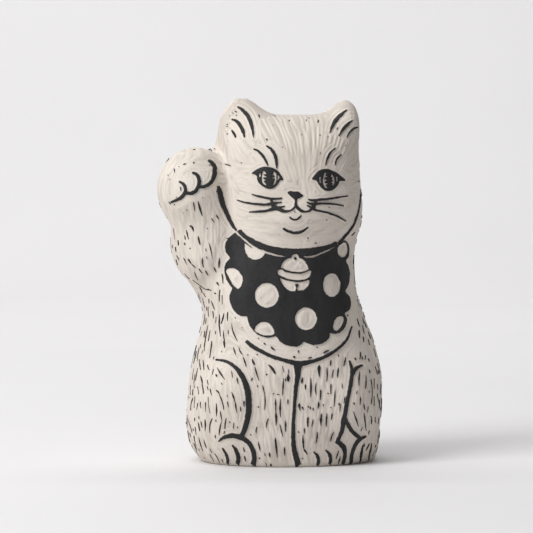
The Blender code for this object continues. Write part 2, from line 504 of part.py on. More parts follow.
def smooth_line(points, steps, closed):
    """A smooth curve through the drawn points, with `steps` pieces between each two."""
    drawn = np.array(points, float)
    if closed:
        padded = np.vstack([drawn[-1:], drawn, drawn[:2]])
    else:
        padded = np.vstack([2 * drawn[:1] - drawn[1:2], drawn, 2 * drawn[-1:] - drawn[-2:-1]])
    curve = []
    for before, start, end, after in zip(padded, padded[1:], padded[2:], padded[3:]):
        for t in np.arange(steps) / steps:
            curve.append(0.5 * (2 * start + (end - before) * t
                                + (2 * before - 5 * start + 4 * end - after) * t**2
                                + (3 * start - before - 3 * end + after) * t**3))
    if not closed:
        curve.append(drawn[-1])
    return np.array(curve)


def stroke_outline(stroke):
    """The closed outline of a brush stroke given by its centre line and widths."""
    line = smooth_line(stroke, STROKE_STEPS, closed=False)
    along = np.gradient(line[:, :2], axis=0)
    along /= np.linalg.norm(along, axis=1)[:, None]
    side = np.stack([-along[:, 1], along[:, 0]], 1) * line[:, 2:3] / 2
    return np.vstack([line[:, :2] + side, (line[:, :2] - side)[::-1]])


def round_outline(across, height, half_width, half_height):
    turn = np.arange(16) / 16 * 2 * math.pi
    return np.stack([across + half_width * np.cos(turn), height + half_height * np.sin(turn)], 1)


def outlines_of(mark):
    """(outlines that hold slip, outlines scraped back to clay) of one mark."""
    filled = [stroke_outline(s) for s in mark.get("strokes", ())]
    filled += [smooth_line(a, OUTLINE_STEPS, closed=True) for a in mark.get("areas", ())]
    scraped = [smooth_line(h, OUTLINE_STEPS, closed=True) for h in mark.get("holes", ())]
    scraped += [round_outline(*r) for r in mark.get("rounds", ())]
    scraped += [stroke_outline(c) for c in mark.get("cuts", ())]
    return filled, scraped


def flat_region(filled, scraped):
    """(corners, triangles) of all the filled outlines together, less the scraped ones."""
    corners, rings = [], []
    for outline in filled + scraped:
        following = np.roll(outline, -1, axis=0)
        if np.dot(outline[:, 0], following[:, 1]) < np.dot(outline[:, 1], following[:, 0]):
            outline = outline[::-1]
        rings.append(list(range(len(corners), len(corners) + len(outline))))
        corners += [Vector(p) for p in outline]
    found = delaunay_2d_cdt(corners, [], rings, 1, 1e-4, True)
    count = len(filled)
    kept = [face for face, owners in zip(found[2], found[5])
            if owners and max(owners) < count]
    return found[0], kept


def stencil(name, mark, collection):
    """The mark's outline as a straight bar that runs from inside the body out past its surface."""
    corners, faces = flat_region(*outlines_of(mark))
    turn = math.radians(mark["facing"])
    across = Vector((math.cos(turn), math.sin(turn), 0.0))
    outward = Vector((math.sin(turn), -math.cos(turn), 0.0))
    bm = bmesh.new()
    used = {index: None for face in faces for index in face}
    for index in used:
        place = across * corners[index][0] + Vector((0, 0, corners[index][1])) + outward * SLIP_DEPTH[0]
        used[index] = bm.verts.new(place * MM)
    sheet = [bm.faces.new([used[index] for index in face]) for face in faces]
    grown = bmesh.ops.extrude_face_region(bm, geom=sheet, use_keep_orig=True)
    lifted = [item for item in grown["geom"] if isinstance(item, bmesh.types.BMVert)]
    bmesh.ops.translate(bm, verts=lifted, vec=outward * (SLIP_DEPTH[1] - SLIP_DEPTH[0]) * MM)
    return new_object(name, mesh_from(bm, name), collection)


def slip_layer(collection):
    """The thin skin of slip over the whole figure, from which each mark is taken."""
    layer = pulled_object("slip_layer", SLIP_LIFT + SLIP_THICKNESS, SHELL_GRID, SLIP_FOOT, collection)
    inner = pulled_object("slip_layer_inside", SLIP_LIFT, SHELL_GRID, SLIP_FOOT - 2.0, collection)
    boolean(layer, "DIFFERENCE", inner)
    bpy.context.view_layer.update()
    ready = layer.evaluated_get(bpy.context.evaluated_depsgraph_get())
    layer.data = bpy.data.meshes.new_from_object(ready)
    layer.modifiers.clear()
    return layer


# ------------------------------------------------------------------ the pieces

def clay_shells(parts, cutters):
    """The front and rear mould halves, open at the foot, and the slab that closes them."""
    cavity = pulled_object("cavity", -WALL, CAVITY_GRID, CAVITY_FLOOR, cutters)
    wide = (-60.0, 60.0)
    behind = block("behind_seam", (wide[0], SEAM_Y - SEAM_GAP / 2, -10), (wide[1], 60, 170), cutters)
    ahead = block("ahead_of_seam", (wide[0], -60, -10), (wide[1], SEAM_Y + SEAM_GAP / 2, 170), cutters)
    for name, half in (("front_shell", behind), ("rear_shell", ahead)):
        shell = pulled_object(name, 0.0, SHELL_GRID, 0.0, parts)
        boolean(shell, "DIFFERENCE", cavity)
        boolean(shell, "DIFFERENCE", half)

    slab = pulled_object("base_slab", -WALL - FIT_GAP, CAVITY_GRID, CAVITY_FLOOR, parts)
    layer = block("slab_layer", (-60, -60, BASE_BOTTOM), (60, 60, BASE_TOP), cutters)
    vent = cylinder("vent", VENT_XY, VENT_RADIUS, BASE_BOTTOM - 3, BASE_TOP + 3, cutters)
    boolean(slab, "INTERSECT", layer)
    boolean(slab, "DIFFERENCE", vent)


def slip_marks(parts, cutters):
    layer = slip_layer(cutters)
    for name, mark in ISLANDS.items():
        boolean(stencil(name, mark, parts), "INTERSECT", layer)


def material(name, colour, roughness):
    made = bpy.data.materials.new(name)
    made.use_nodes = True
    shader = made.node_tree.nodes["Principled BSDF"]
    shader.inputs["Base Color"].default_value = colour
    shader.inputs["Roughness"].default_value = roughness
    return made


def finish_pieces(parts):
    """Applies the modifiers, settles the figure over the origin and gives each piece its material."""
    clay = material("carved_clay", CLAY_COLOUR, 0.85)
    base = material("base_clay", BASE_COLOUR, 0.9)
    slip = material("black_slip", SLIP_COLOUR, 0.5)
    chosen = {"front_shell": clay, "rear_shell": clay, "base_slab": base}
    graph = bpy.context.evaluated_depsgraph_get()
    for obj in parts.objects:
        mesh = bpy.data.meshes.new_from_object(obj.evaluated_get(graph))
        obj.modifiers.clear()
        obj.data = mesh
        mesh.transform(Matrix.Translation(Vector((-MIDDLE[0], -MIDDLE[1], 0.0)) * MM))
        mesh.materials.clear()
        mesh.materials.append(chosen.get(obj.name, slip))
        mesh.set_sharp_from_angle(angle=math.radians(40))


def main():
    for obj in list(bpy.data.objects):
        bpy.data.objects.remove(obj, do_unlink=True)
    scene = bpy.context.scene.collection
    parts = bpy.data.collections.new("beckoning_cat")
    cutters = bpy.data.collections.new("cutters")
    for collection in (parts, cutters):
        scene.children.link(collection)
    clay_shells(parts, cutters)
    slip_marks(parts, cutters)
    finish_pieces(parts)
    for obj in cutters.objects:
        obj.hide_render = True
        obj.display_type = "WIRE"


main()
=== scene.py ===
"""Looks of the beckoning cat figurine: carved clay with its gouge marks, black slip islands and fur ticks.

All drawing sizes are in mm, in the drawing's own axes; MIDDLE is where the footprint's middle lies in them.
The cat's face looks along -Y and +Z is up. Every mesh is turned into metres about that middle.
"""

import math

import bpy
import numpy as np
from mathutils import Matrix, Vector
from mathutils.geometry import delaunay_2d_cdt
from mathutils.kdtree import KDTree


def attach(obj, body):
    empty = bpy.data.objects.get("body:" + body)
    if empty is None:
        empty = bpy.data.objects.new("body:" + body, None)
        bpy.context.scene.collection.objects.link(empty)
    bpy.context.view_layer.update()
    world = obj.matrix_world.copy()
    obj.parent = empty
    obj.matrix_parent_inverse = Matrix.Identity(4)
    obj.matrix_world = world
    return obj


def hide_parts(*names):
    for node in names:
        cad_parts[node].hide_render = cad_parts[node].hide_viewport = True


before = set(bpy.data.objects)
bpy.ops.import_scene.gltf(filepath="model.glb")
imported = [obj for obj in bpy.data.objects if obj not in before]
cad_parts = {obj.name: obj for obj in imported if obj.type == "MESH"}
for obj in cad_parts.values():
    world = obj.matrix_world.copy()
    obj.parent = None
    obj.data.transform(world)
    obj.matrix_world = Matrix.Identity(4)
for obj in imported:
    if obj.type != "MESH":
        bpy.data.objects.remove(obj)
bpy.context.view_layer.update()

MM = 0.001

# Where the middle of the footprint lies in the drawing's own axes.
MIDDLE = (-0.61, 0.61)

# The body's outline at a run of heights: height, cat's right, cat's left, front, back, squareness.
# A separate program fitted the sides here, and the crown, ears and arm below, where the outline shows them.
# Front, back and squareness are given.
SECTIONS = np.array([
    (-12.0, -25.3, 39.9, -27.0, 26.0, 2.00),
    (0.0, -28.3, 42.9, -29.5, 29.5, 2.00),
    (7.0, -32.6, 44.6, -31.6, 32.0, 2.25),
    (16.0, -34.1, 45.0, -33.0, 34.0, 2.30),
    (26.0, -33.2, 45.3, -33.2, 34.5, 2.30),
    (37.0, -32.2, 45.1, -32.6, 33.5, 2.25),
    (48.0, -29.7, 42.3, -31.8, 31.0, 2.20),
    (60.0, -27.6, 37.9, -30.8, 28.2, 2.20),
    (70.0, -27.5, 34.8, -29.8, 26.5, 2.20),
    (80.0, -25.0, 33.8, -29.0, 25.5, 2.20),
    (89.0, -22.5, 34.6, -28.6, 25.5, 2.25),
    (99.0, -21.4, 37.0, -30.2, 27.0, 2.35),
    (110.0, -21.3, 36.6, -31.0, 28.0, 2.45),
    (121.0, -21.2, 35.8, -29.8, 27.3, 2.50),
    (131.0, -21.0, 35.9, -26.5, 24.5, 2.50),
    (141.0, -20.6, 36.3, -20.0, 19.0, 2.50),
    (155.0, -20.6, 36.0, -14.0, 14.0, 2.50)])

CROWN_HEIGHT = 141.1
CROWN_FALL = (0.0006, 0.012)
CROWN_MIDDLE = (8.0, -0.5)
CROWN_BLEND = 7.0
CROWN_SLOPE = 0.85
EAR_SHARPNESS = 2.3
# Ears, as rises of the crown: x, y, rise, half width, half depth.
EARS = ((-12.2, -1.0, 6.9, 8.8, 8.5), (32.6, -1.0, 6.4, 8.5, 8.5))
# Bulges: centre, half axes, and how softly each one flows into what it joins.
MUZZLE = ((9.0, -22.0, 102.0), (14.0, 11.0, 9.0), 4.0)
HAUNCHES = (((-16.5, -10.0, 26.0), (14.5, 22.5, 24.0), 5.0),
            ((27.0, -10.0, 26.0), (15.5, 22.5, 24.0), 5.0))
SHOULDER = ((-22.9, -0.5, 86.8), (17.3, 18.0, 16.4))
UPPER_ARM = ((-25.4, -2.0, 100.0), (15.4, 17.0, 20.0), 5.0)
PAW = ((-31.2, -5.0, 110.9), (15.4, 17.0, 16.8), 4.0)
ARM_BLEND = 4.0
# Behind the arm the clay is filled in more softly, over this range of depth.
ARM_BACK = (-2.0, 10.0)
ARM_BACK_BLEND = 14.0

# The upright line inside the body that every surface point is measured from.
CORE_XY = (6.0, 0.0)
CORE_TOP = 104.0
REACH = 80.0
HALVINGS = 30

# The clay body's mesh: points round it, rows up its side, rows over its crown, and the wall inside it.
AROUND = 620
SIDE_ROWS = 280
CROWN_ROWS = 165
HEADING_ROWS = 40
HEADING_SAMPLES = 720
HEADING_RISE = 65
INNER_SIDE_ROWS = 24
INNER_CROWN_ROWS = 8
WALL = 4.2
FOOT_ROUND = 1.1
FOOT_LIP = 0.5

# The loop tool's cuts: how many, their length, half width and depth.
GOUGES = 8000
GOUGE_SEED = 7
GOUGE_STEP = 0.45
GOUGE_LENGTH = (4.0, 11.0)
GOUGE_REACH = (0.60, 0.92)
GOUGE_WANDER = 4.0
GOUGE_DEPTH = (0.15, 0.34)
GOUGE_END_WIDTH = 0.55
GOUGES_ABOVE = 1.5
# The heights over which the carving and the swells of the surface set in above the foot.
CARVING_SETS_IN = (0.9, 2.2)
SWELLS_SET_IN = (1.0, 6.0)
# The rings of cuts round each mark: distance from its edge, and depth.
BORDERS = ((0.85, 0.34), (2.15, 0.26))
BORDER_REACH = 0.74
BORDER_STEP = 0.40
UNEVEN = 0.10
# The long cuts of the forehead: where they fan out from, the widest angle, how many, and their
# nearest and farthest ends. Each starts, leans and bows a little by chance.
FAN_FROM = (10.0, 98.0)
FAN_ANGLE = 0.66
FAN_CUTS = 27
FAN_REACH = (17.0, 44.0)
FAN_LENGTH = (8.0, 17.0)
FAN_DEPTH = (0.24, 0.36)
FAN_START = (-3.0, 3.0)
FAN_LEAN = 0.006
FAN_BOW = 0.012
FAN_GAP = (-0.8, 0.6)
FAN_TIP = 0.3
FAN_BACK = -4.0

# Where the loop tool turns, in mm. A region starts at one place and is full at the next, or it ends at one
# and fades over the width before it.
FACE_MIDDLE = 10.0
FACE_TURN = 3.0
BRIDGE_HEIGHT = 100.0
FRONT_RISES = (0.0, 12.0)
LEAN = 0.12
LEAN_ENDS = (60.0, 20.0)
BROW_RISES = (112.0, 119.0)
CHEEK_RISES, CHEEK_ENDS, CHEEK_SIDE = (88.0, 92.0), (124.0, 5.0), (-19.0, -15.0)
MUZZLE_SIDE, CHIN_ENDS = (2.0, 6.0), (106.0, 3.0)
CHEEK_SLANT, CHEEK_DROP = 0.22, 0.1
BIB_MIDDLE = (6.0, 92.0)
CHEST_RISES, CHEST_ENDS, CHEST_SIDE = (44.0, 47.0), (60.0, 6.0), (30.0, 6.0)
SPOTS_RISE, SPOTS_END = (60.0, 64.0), (90.0, 3.0)
SPOTS_RIGHT, SPOTS_LEFT = (-22.0, -18.0), (34.0, 4.0)
SPOTS_LAY = (0.55, 0.0, 0.8)
PAW_RISES, PAW_SIDE = (106.0, 112.0), (-17.0, 4.0)
CROWN_TURNS = (0.6, 0.9)
CROWN_LAY = (0.0, 1.0, 0.1)

# The slip: its height over the uncarved clay, the fall at its edge, and how far it goes into the clay.
SLIP_RISE = 0.24
SLIP_SHOULDER = 0.12
SLIP_ROOT = -0.45
SLIP_SEED = 21
BRUSHED = 0.02
EDGE_SPACING = 0.25
EDGE_RING = 0.14
INSIDE_SPACING = 0.6 * 1.0
INSIDE_JITTER = 0.15
NICK_FREQUENCY = 0.75
RAGGED = 0.05
FINE_RAGGED = 0.03
# How far the slip spreads past the drawn outline.
SPREAD = 0.08
FINE_SPREAD = 0.05
EYE_SPREAD = -0.05
STROKE_STEPS = 8
OUTLINE_STEPS = 4
ROUND_POINTS = 48
# A mark whose end is no higher than this runs on to the foot's edge.
DRAWN_TO = 1.01
FOOT_LEVEL = 0.12
FOOT_RUN = 0.1
# A drawing is cast from this far out, one mm at a time, for so many steps.
CAST_FROM = 60.0
CAST_STEPS = 57

# The fur ticks: cross sections, height, the shoulder's share of width and height, how wide the drawn ones are
# beside their table, where along it a tick is fullest, its tips' share of width, and how uneven it is.
TICK_SECTIONS = 7
TICK_RISE = 0.13
TICK_SHOULDER = (0.92, 0.7)
TICK_BREADTH = 1.22
TICK_FULLEST = (0.25, 0.55)
TICK_TAPER = 0.6
TICK_TIP = 0.18
TICK_UNEVEN = (0.13, 0.6, 1.4)
TICK_BOW = 0.035
TICK_LOWEST = 0.3
# The ticks by rule between the drawn ones: how many, tries for each, heights, length, wander and width.
FRONT_FILL = 170
FILL_TRIES = 14
FILL_HEIGHTS = (2.0, 92.0)
FILL_LENGTH = (1.0, 5.5)
FILL_WANDER = 7.0
FILL_WIDTH = (0.32, 0.68)
FILL_TOWARDS = 0.2
LEG_TOP = 44.0
ARM_SIDE, ARM_TOP = -22.0, 90.0
FLANK_SIDE, FLANK_TOP = 33.0, 86.0
MARK_SPACING = 0.5
CLEAR_OF_MARKS = 1.2
CLEAR_OF_TICKS = 1.5
# The ticks of the flanks and the back: the same, and how they thin out on the head and near the silhouette.
BACK_TICKS = 900
BACK_TRIES = 4
BACK_HEIGHTS = (3.0, 128.0)
BACK_LENGTH = (1.2, 6.5)
BACK_WANDER = 8.0
BACK_WIDTH = (0.38, 0.85)
BACK_TOWARDS, EDGE_TOWARDS = 0.16, -0.3
STEEPEST = 0.75
HEAD_FOOT = 92.0
HEAD_SHARE, HEAD_LENGTH = 0.22, 0.5
EDGE_SHARE = 0.4
SPECK_SHARE, SPECK_LENGTH = 0.2, 0.7
BACK_APART = 2.3
# How far they stay from the collar and the tail, and from a line that lies this far over them.
CLEAR_OF_LINE, CLEAR_OVER_LINE, OVER_LINE = 2.4, 3.0, 4.0

LOOK = "look_of_"
FACING = -8.0
CAMERA_TILT = 2.4
CAMERA_TARGET = (-0.95, 3.48, 78.99)
CAMERA_DISTANCE = 1.2
CAMERA_LENS = 198.17

# name, place, what it points at, size, power
LAMPS = (
    ("key", (-1.00, -0.68, 0.90), (0.0, 0.0, 0.07), (0.7, 0.8), 13.4),
    ("top", (-0.40, -0.35, 1.35), (0.0, 0.0, 0.0), (0.9, 0.9), 5.9),
    ("backdrop_wash", (0.0, 0.75, 1.7), (0.1, 1.8, 0.45), (2.6, 0.6), 22.0),
)
AIR_COLOUR = (1.0, 0.995, 1.0)
AIR_STRENGTH = 0.155
STAGE_COLOURS = ((0.84, 0.83, 0.835), (0.82, 0.81, 0.815))
# The sweep, in metres: its front edge, where it bends, the bend's radius, its top and half its width.
SWEEP_FRONT, SWEEP_BEND, SWEEP_RADIUS, SWEEP_TOP, SWEEP_SIDE = -2.5, 1.2, 0.6, 2.6, 3.0
SWEEP_STEPS = 16

# pale, deep and speck colours of the two clays
CARVED_CLAY = ((0.80, 0.735, 0.665), (0.74, 0.67, 0.595), (0.45, 0.40, 0.34))
BASE_CLAY = ((0.66, 0.60, 0.52), (0.58, 0.52, 0.44), (0.36, 0.31, 0.26))
# how dark the uncarved ridges between the cuts are painted, as a share of the deep clay: painted shade, and
# the cuts stay lighter
RIDGE_PAINTED_SHADE = 0.80
# two blacks of the slip, its grain and its worn edge
SLIP_COLOURS = ((0.017, 0.017, 0.019), (0.030, 0.029, 0.030), (0.075, 0.072, 0.070), (0.11, 0.10, 0.095))

# The black slip, one entry for each connected mark. A mark is drawn flat, seen from the heading `facing`
# (degrees, 0 looks along +Y), as (across, height): strokes are centre lines with widths, areas are closed
# outlines, and holes, rounds (across, height, half width, half height) and cuts are scraped back to clay.
# The front's marks were read and turned into mm on this form by a separate program.
# The collar and the tail on the back are guessed.
ISLANDS = {
    "right_ear_line_inner": dict(facing=-8, strokes=[
        [(-13.1, 144.2, 0.49), (-11.3, 142.9, 1.06), (-9.2, 140.7, 1.35), (-7.7, 137.4, 1.27),
         (-6.9, 134.2, 0.82), (-6.7, 131.8, 0.33)],
    ]),
    "right_ear_line_middle": dict(facing=-8, strokes=[
        [(-15.4, 139, 0.37), (-13.4, 138.1, 1.06), (-11.8, 136.1, 1.31), (-10.7, 133.8, 1.06),
         (-10.3, 131.8, 0.33)],
    ]),
    "right_ear_line_outer": dict(facing=-8, strokes=[
        [(-15.4, 134.6, 0.41), (-14.5, 133.2, 0.9), (-13.8, 131.7, 0.33)],
    ]),
    "left_ear_line_inner": dict(facing=-8, strokes=[
        [(31.1, 142.9, 0.33), (28.9, 141.1, 1.15), (26.5, 138.6, 1.31), (24.9, 136.1, 0.98),
         (24, 133.6, 0.29)],
    ]),
    "left_ear_line_middle": dict(facing=-8, strokes=[
        [(33.3, 138.6, 0.33), (31.3, 137, 0.82), (29.5, 135.2, 0.9), (27.6, 132.5, 0.29)],
    ]),
    "left_ear_line_outer": dict(facing=-8, strokes=[
        [(35.4, 135.8, 0.41), (33.8, 135.3, 0.65), (32.1, 133.7, 0.7), (31, 131.8, 0.25)],
    ]),
    "right_brow_outer": dict(facing=-8, strokes=[
        [(-6.5, 127.1, 0.33), (-4.5, 126.1, 0.61), (-2.7, 124.1, 0.82), (-1.7, 122.3, 0.74),
         (-0.9, 120.6, 0.29)],
    ]),
    "right_brow_inner": dict(facing=-8, strokes=[
        [(-1.5, 128.4, 0.33), (0.3, 127.1, 0.82), (1.8, 124.8, 1.15), (2.5, 122.1, 0.9),
         (2.6, 119.5, 0.33)],
    ]),
    "left_brow_inner": dict(facing=-8, strokes=[
        [(26.1, 127.4, 0.25), (24.4, 126, 0.57), (23.1, 123.8, 0.7), (22.2, 120.8, 0.25)],
    ]),
    "left_brow_outer": dict(facing=-8, strokes=[
        [(28.5, 124.8, 0.25), (27.3, 123.8, 0.57), (26.4, 122.4, 0.61), (26.1, 120.7, 0.25)],
    ]),
    "right_eye": dict(facing=-8, areas=[
        [(-7.24, 117.36), (-6.56, 118.08), (-5.56, 118.76), (-4.29, 119.48), (-2.94, 119.88),
         (-1.31, 119.96), (0.16, 119.76), (1.51, 119.29), (2.9, 118.53), (3.89, 117.38), (4.65, 116.11),
         (5.09, 115), (4.77, 114.73), (3.89, 114.65), (3.26, 113.54), (2.15, 112.15), (0.92, 111.43),
         (-0.32, 111.27), (-1.83, 111.66), (-3.3, 112.65), (-4.45, 113.76), (-5.05, 114.99),
         (-5.17, 116.18), (-5.8, 116.85), (-6.68, 117.16)],
    ], holes=[
        [(-4.41, 116.86), (-4.17, 117.49), (-3.85, 117.1), (-3.85, 116.18), (-4.17, 115.94),
         (-4.37, 116.38)],
        [(-2.7, 118.29), (-2.26, 118.01), (-1.47, 117.18), (-2.26, 117.18), (-2.7, 116.94), (-2.7, 116.62),
         (-1.59, 116.19), (-1.51, 115.83), (-2.58, 115.99), (-2.7, 115.63), (-2.7, 115.23), (-1.83, 114.8),
         (-2.26, 114.56), (-2.58, 114.4), (-2.26, 113.73), (-1.51, 112.97), (-1.83, 112.73),
         (-2.58, 113.13), (-3.18, 114.12), (-3.38, 115.23), (-3.26, 116.74), (-2.98, 117.85)],
        [(1.15, 117.78), (1.65, 117.98), (2.15, 117.38), (2.39, 116.25), (2.44, 114.77), (2.15, 113.66),
         (1.51, 112.9), (1.19, 112.9), (1.65, 114.01), (1.85, 115), (1.83, 115.46), (0.96, 115.52),
         (0.8, 115.72), (1.39, 115.99), (1.87, 116.07), (1.83, 116.63), (0.92, 116.79), (0.8, 117.05),
         (1.31, 117.18)],
        [(3.02, 116.63), (3.44, 116.25), (3.58, 115.76), (3.26, 115.12), (2.78, 114.81), (2.7, 115.16),
         (3.02, 115.52), (3.14, 116)],
    ]),
    "left_eye": dict(facing=-8, areas=[
        [(16.71, 115.38), (17.18, 116.1), (18.06, 117.09), (19.07, 118.08), (20.19, 118.75),
         (21.43, 119.02), (23.2, 119.06), (24.45, 118.57), (26.1, 117.81), (27.36, 117.04), (28.37, 116.04),
         (29.39, 115.31), (29.96, 114.67), (29.8, 114.35), (28.37, 114.32), (27.62, 114.05),
         (27.11, 112.82), (26.09, 111.6), (24.72, 110.65), (23.31, 110.42), (21.94, 110.63),
         (20.56, 111.52), (19.56, 112.75), (18.82, 113.99), (18.18, 114.66), (17.3, 114.79),
         (16.78, 114.95)],
    ], holes=[
        [(19.62, 115.49), (19.86, 115.85), (20.18, 115.61), (20.06, 114.74), (20.26, 113.74),
         (19.94, 113.62), (19.62, 114.1), (19.74, 114.5), (19.56, 114.98)],
        [(21.95, 117.59), (22.27, 117.21), (22.07, 116.6), (22.71, 116.16), (22.31, 115.92), (21.77, 115.6),
         (21.62, 114.97), (22.43, 114.73), (22.31, 114.43), (21.7, 114.23), (21.62, 113.94),
         (21.94, 113.44), (22.95, 113.29), (22.63, 113.03), (22.18, 112.86), (22.3, 112.24),
         (22.71, 111.86), (22.3, 111.55), (21.7, 111.99), (21.18, 112.98), (20.94, 114.24), (21.06, 115.49),
         (21.37, 116.72)],
        [(24.32, 116.59), (24.73, 116.94), (25.13, 116.46), (25.59, 115.46), (25.65, 114.21),
         (25.53, 113.07), (25.12, 112.36), (24.78, 112.6), (24.84, 113.08), (25.08, 113.36), (24.52, 113.6),
         (24.52, 113.88), (25.08, 114.07), (25.08, 114.59), (24.68, 114.75), (24.58, 115.01),
         (24.96, 115.21), (24.88, 115.71), (24.2, 115.83), (24.08, 116.03), (24.64, 116.21)],
        [(26.34, 115.82), (26.75, 115.99), (26.99, 115.33), (26.86, 114.46), (26.46, 114.06),
         (26.4, 114.7)],
    ]),
    "muzzle_lines": dict(facing=-8, strokes=[
        [(10.24, 107.43, 0.82), (10.2, 106.05, 0.74), (10.12, 104.63, 1.15)],
        [(10.2, 104.95, 0.74), (9.72, 104.08, 0.74), (8.85, 103.13, 0.65), (7.82, 102.57, 0.7),
         (6.51, 102.37, 0.98), (5.12, 102.48, 1.27), (3.69, 103.19, 1.55), (2.27, 103.77, 1.72),
         (1.15, 104.36, 1.47)],
        [(10.12, 104.95, 0.74), (10.51, 104.16, 1.15), (11.31, 103.37, 1.19), (12.18, 102.69, 1.1),
         (13.45, 102.25, 0.78), (14.68, 102.29, 0.78), (15.72, 102.68, 0.86), (16.6, 103.43, 1.15),
         (17.28, 104.21, 1.23)],
        [(-7.24, 109.05, 0.33), (-5.6, 108.54, 0.57), (-4.01, 108.19, 0.74), (-1.86, 107.73, 0.74),
         (-0.04, 107.38, 0.78), (1.63, 107.3, 0.7), (3.26, 107.39, 0.61), (4.73, 107.55, 0.61)],
        [(-13.26, 106.69, 0.33), (-10.2, 105.82, 0.53), (-7.2, 105.34, 0.74), (-4.01, 105.05, 0.82),
         (-2.02, 104.94, 0.82), (-0.04, 105.23, 1.15), (1.39, 105.52, 1.15), (2.7, 105.76, 0.74),
         (3.62, 105.84, 0.53), (4.61, 106.04, 0.37)],
        [(-8.44, 101.97, 0.33), (-6.41, 102.08, 0.61), (-4.01, 102.22, 0.82), (-2.02, 102.43, 0.9),
         (-0.35, 102.84, 1.02), (1.08, 103.21, 1.31), (2.98, 103.66, 1.15), (4.49, 104.1, 0.61),
         (5.84, 104.43, 0.33)],
        [(0.32, 107.38, 0.74), (0.64, 106.11, 0.9), (1.11, 104.92, 1.47), (1.43, 103.93, 1.8),
         (1.15, 103.01, 1.15)],
        [(31.2, 108.25, 0.37), (27.31, 107.75, 0.61), (22.26, 107.1, 0.78), (19.85, 107, 0.78),
         (18.01, 106.81, 0.78), (16.61, 106.82, 0.57), (15.21, 107.11, 0.37)],
        [(29.48, 104.32, 0.33), (25.89, 105.06, 0.57), (22.25, 105.39, 0.65), (19.84, 105.42, 0.65),
         (18.16, 105.27, 0.9), (16.84, 105.28, 0.9), (15.69, 105.53, 0.61), (14.61, 106.04, 0.33)],
        [(30.25, 98.24, 0.37), (27.33, 99.96, 0.61), (24.68, 101.1, 0.7), (22.25, 101.9, 0.7),
         (19.84, 102.45, 0.7), (17.99, 102.86, 0.78), (16.6, 103.5, 1.06), (15.68, 104.22, 0.53),
         (14.61, 104.86, 0.33)],
        [(18.09, 107.05, 0.82), (18, 105.91, 1.02), (17.44, 104.76, 1.23), (17.16, 103.78, 1.47),
         (17.32, 102.87, 0.98)],
    ], areas=[
        [(6.91, 109.81), (7.59, 110.32), (8.58, 110.36), (9.57, 110.12), (10.89, 110.16), (11.88, 109.68),
         (12.55, 109.17), (13.19, 108.77), (12.87, 108.42), (11.87, 107.83), (10.92, 107.31),
         (10.64, 106.88), (9.89, 106.88), (9.05, 107.59), (8.22, 108.34), (7.41, 109.17)],
    ]),
    "lip_mark": dict(facing=-8, strokes=[
        [(7.78, 100.02, 0.33), (8.73, 99.27, 0.49), (9.73, 99.07, 0.57), (10.88, 99.27, 0.57),
         (11.79, 99.95, 0.53), (12.38, 100.82, 0.37)],
    ]),
    "chin_mark": dict(facing=-8, strokes=[
        [(5.2, 95.6, 0.49), (6.6, 94.7, 0.74), (8.1, 94.1, 0.86), (9.6, 93.7, 0.94), (11.2, 93.7, 0.94),
         (12.7, 94.2, 0.82), (13.9, 95, 0.7), (15.2, 95.9, 0.37)],
    ]),
    "right_jaw_line": dict(facing=-30, strokes=[
        [(-10.6, 112.3, 0.49), (-10.1, 109.4, 1.06), (-9.4, 105.1, 1.31), (-7.7, 99.9, 1.31),
         (-5.8, 96.3, 1.06), (-4.3, 94.5, 0.57)],
    ]),
    "left_jaw_line": dict(facing=28, strokes=[
        [(24.3, 110.7, 0.41), (22.9, 106.7, 0.82), (21, 102.3, 1.06), (18.3, 97.4, 1.23),
         (15.3, 93.7, 1.23), (12.4, 90.9, 1.06), (10.4, 89.2, 0.53)],
    ]),
    "collar_and_bib": dict(facing=-2, areas=[
        [(-14.2, 94.8), (-12.5, 93), (-10.5, 91.7), (-7.2, 90), (-3.2, 88.5), (1.4, 87.7), (6.4, 87.3),
         (11.7, 87.5), (16.9, 88), (20.6, 88.6), (24.2, 89.8), (24.9, 88.4), (27.7, 90.3), (29.7, 88.7),
         (30.4, 86.3), (30, 83.8), (28.6, 82), (30.2, 79.4), (30.7, 75.5), (29.8, 71.9), (28.2, 69.8),
         (30.3, 67.5), (30.6, 64.4), (29.6, 62.3), (27.6, 61.1), (28.5, 59), (27.8, 56.2), (25.7, 54),
         (23.2, 53.3), (21, 53.6), (20.6, 51.8), (18.7, 50.1), (15.9, 49.2), (12.9, 49.4), (10.3, 50.5),
         (8.7, 49), (6.3, 48.6), (3.3, 49.2), (0.7, 50.7), (-1.1, 52.7), (-3.1, 52.2), (-5.6, 52.3),
         (-8.3, 53.6), (-10.6, 56.2), (-11.6, 58.5), (-12.2, 60.5), (-14.3, 60.6), (-16.7, 62.3),
         (-18.2, 65.4), (-18.5, 68.4), (-17.4, 71.4), (-18.3, 72.6), (-19.6, 75.1), (-20.3, 78.3),
         (-19.8, 81.3), (-18.1, 83.6), (-19.8, 85.8), (-20, 88.7), (-18.7, 91.4), (-16.7, 93.1),
         (-15.7, 93.7)],
    ], holes=[
        [(-12.5, 89.5), (-10.4, 88), (-7.6, 86.6), (-4.9, 85.9), (-5.8, 84.2), (-7.4, 83.1), (-9.4, 83),
         (-11.5, 84.1), (-12.6, 86.3), (-12.8, 88.2)],
        [(-19.9, 78), (-19.3, 79), (-17.8, 79.5), (-16.2, 79.2), (-14.7, 77.8), (-13.7, 76.3),
         (-13.6, 74.6), (-14.2, 72.6), (-15.4, 71.2), (-16.5, 71.9), (-17.6, 73.4), (-18.7, 75.5),
         (-19.5, 77.1)],
        [(-9.3, 55.1), (-8.2, 57.1), (-6.3, 58.3), (-4, 58), (-2.2, 56.2), (-1.4, 53.9), (-2.4, 53.2),
         (-5, 52.9), (-7.5, 53.7)],
        [(22.6, 55.1), (22.5, 57), (23.3, 58.9), (24.8, 59.9), (26.6, 60), (27.3, 59), (26.6, 57.1),
         (25.2, 55.4), (23.8, 54.4)],
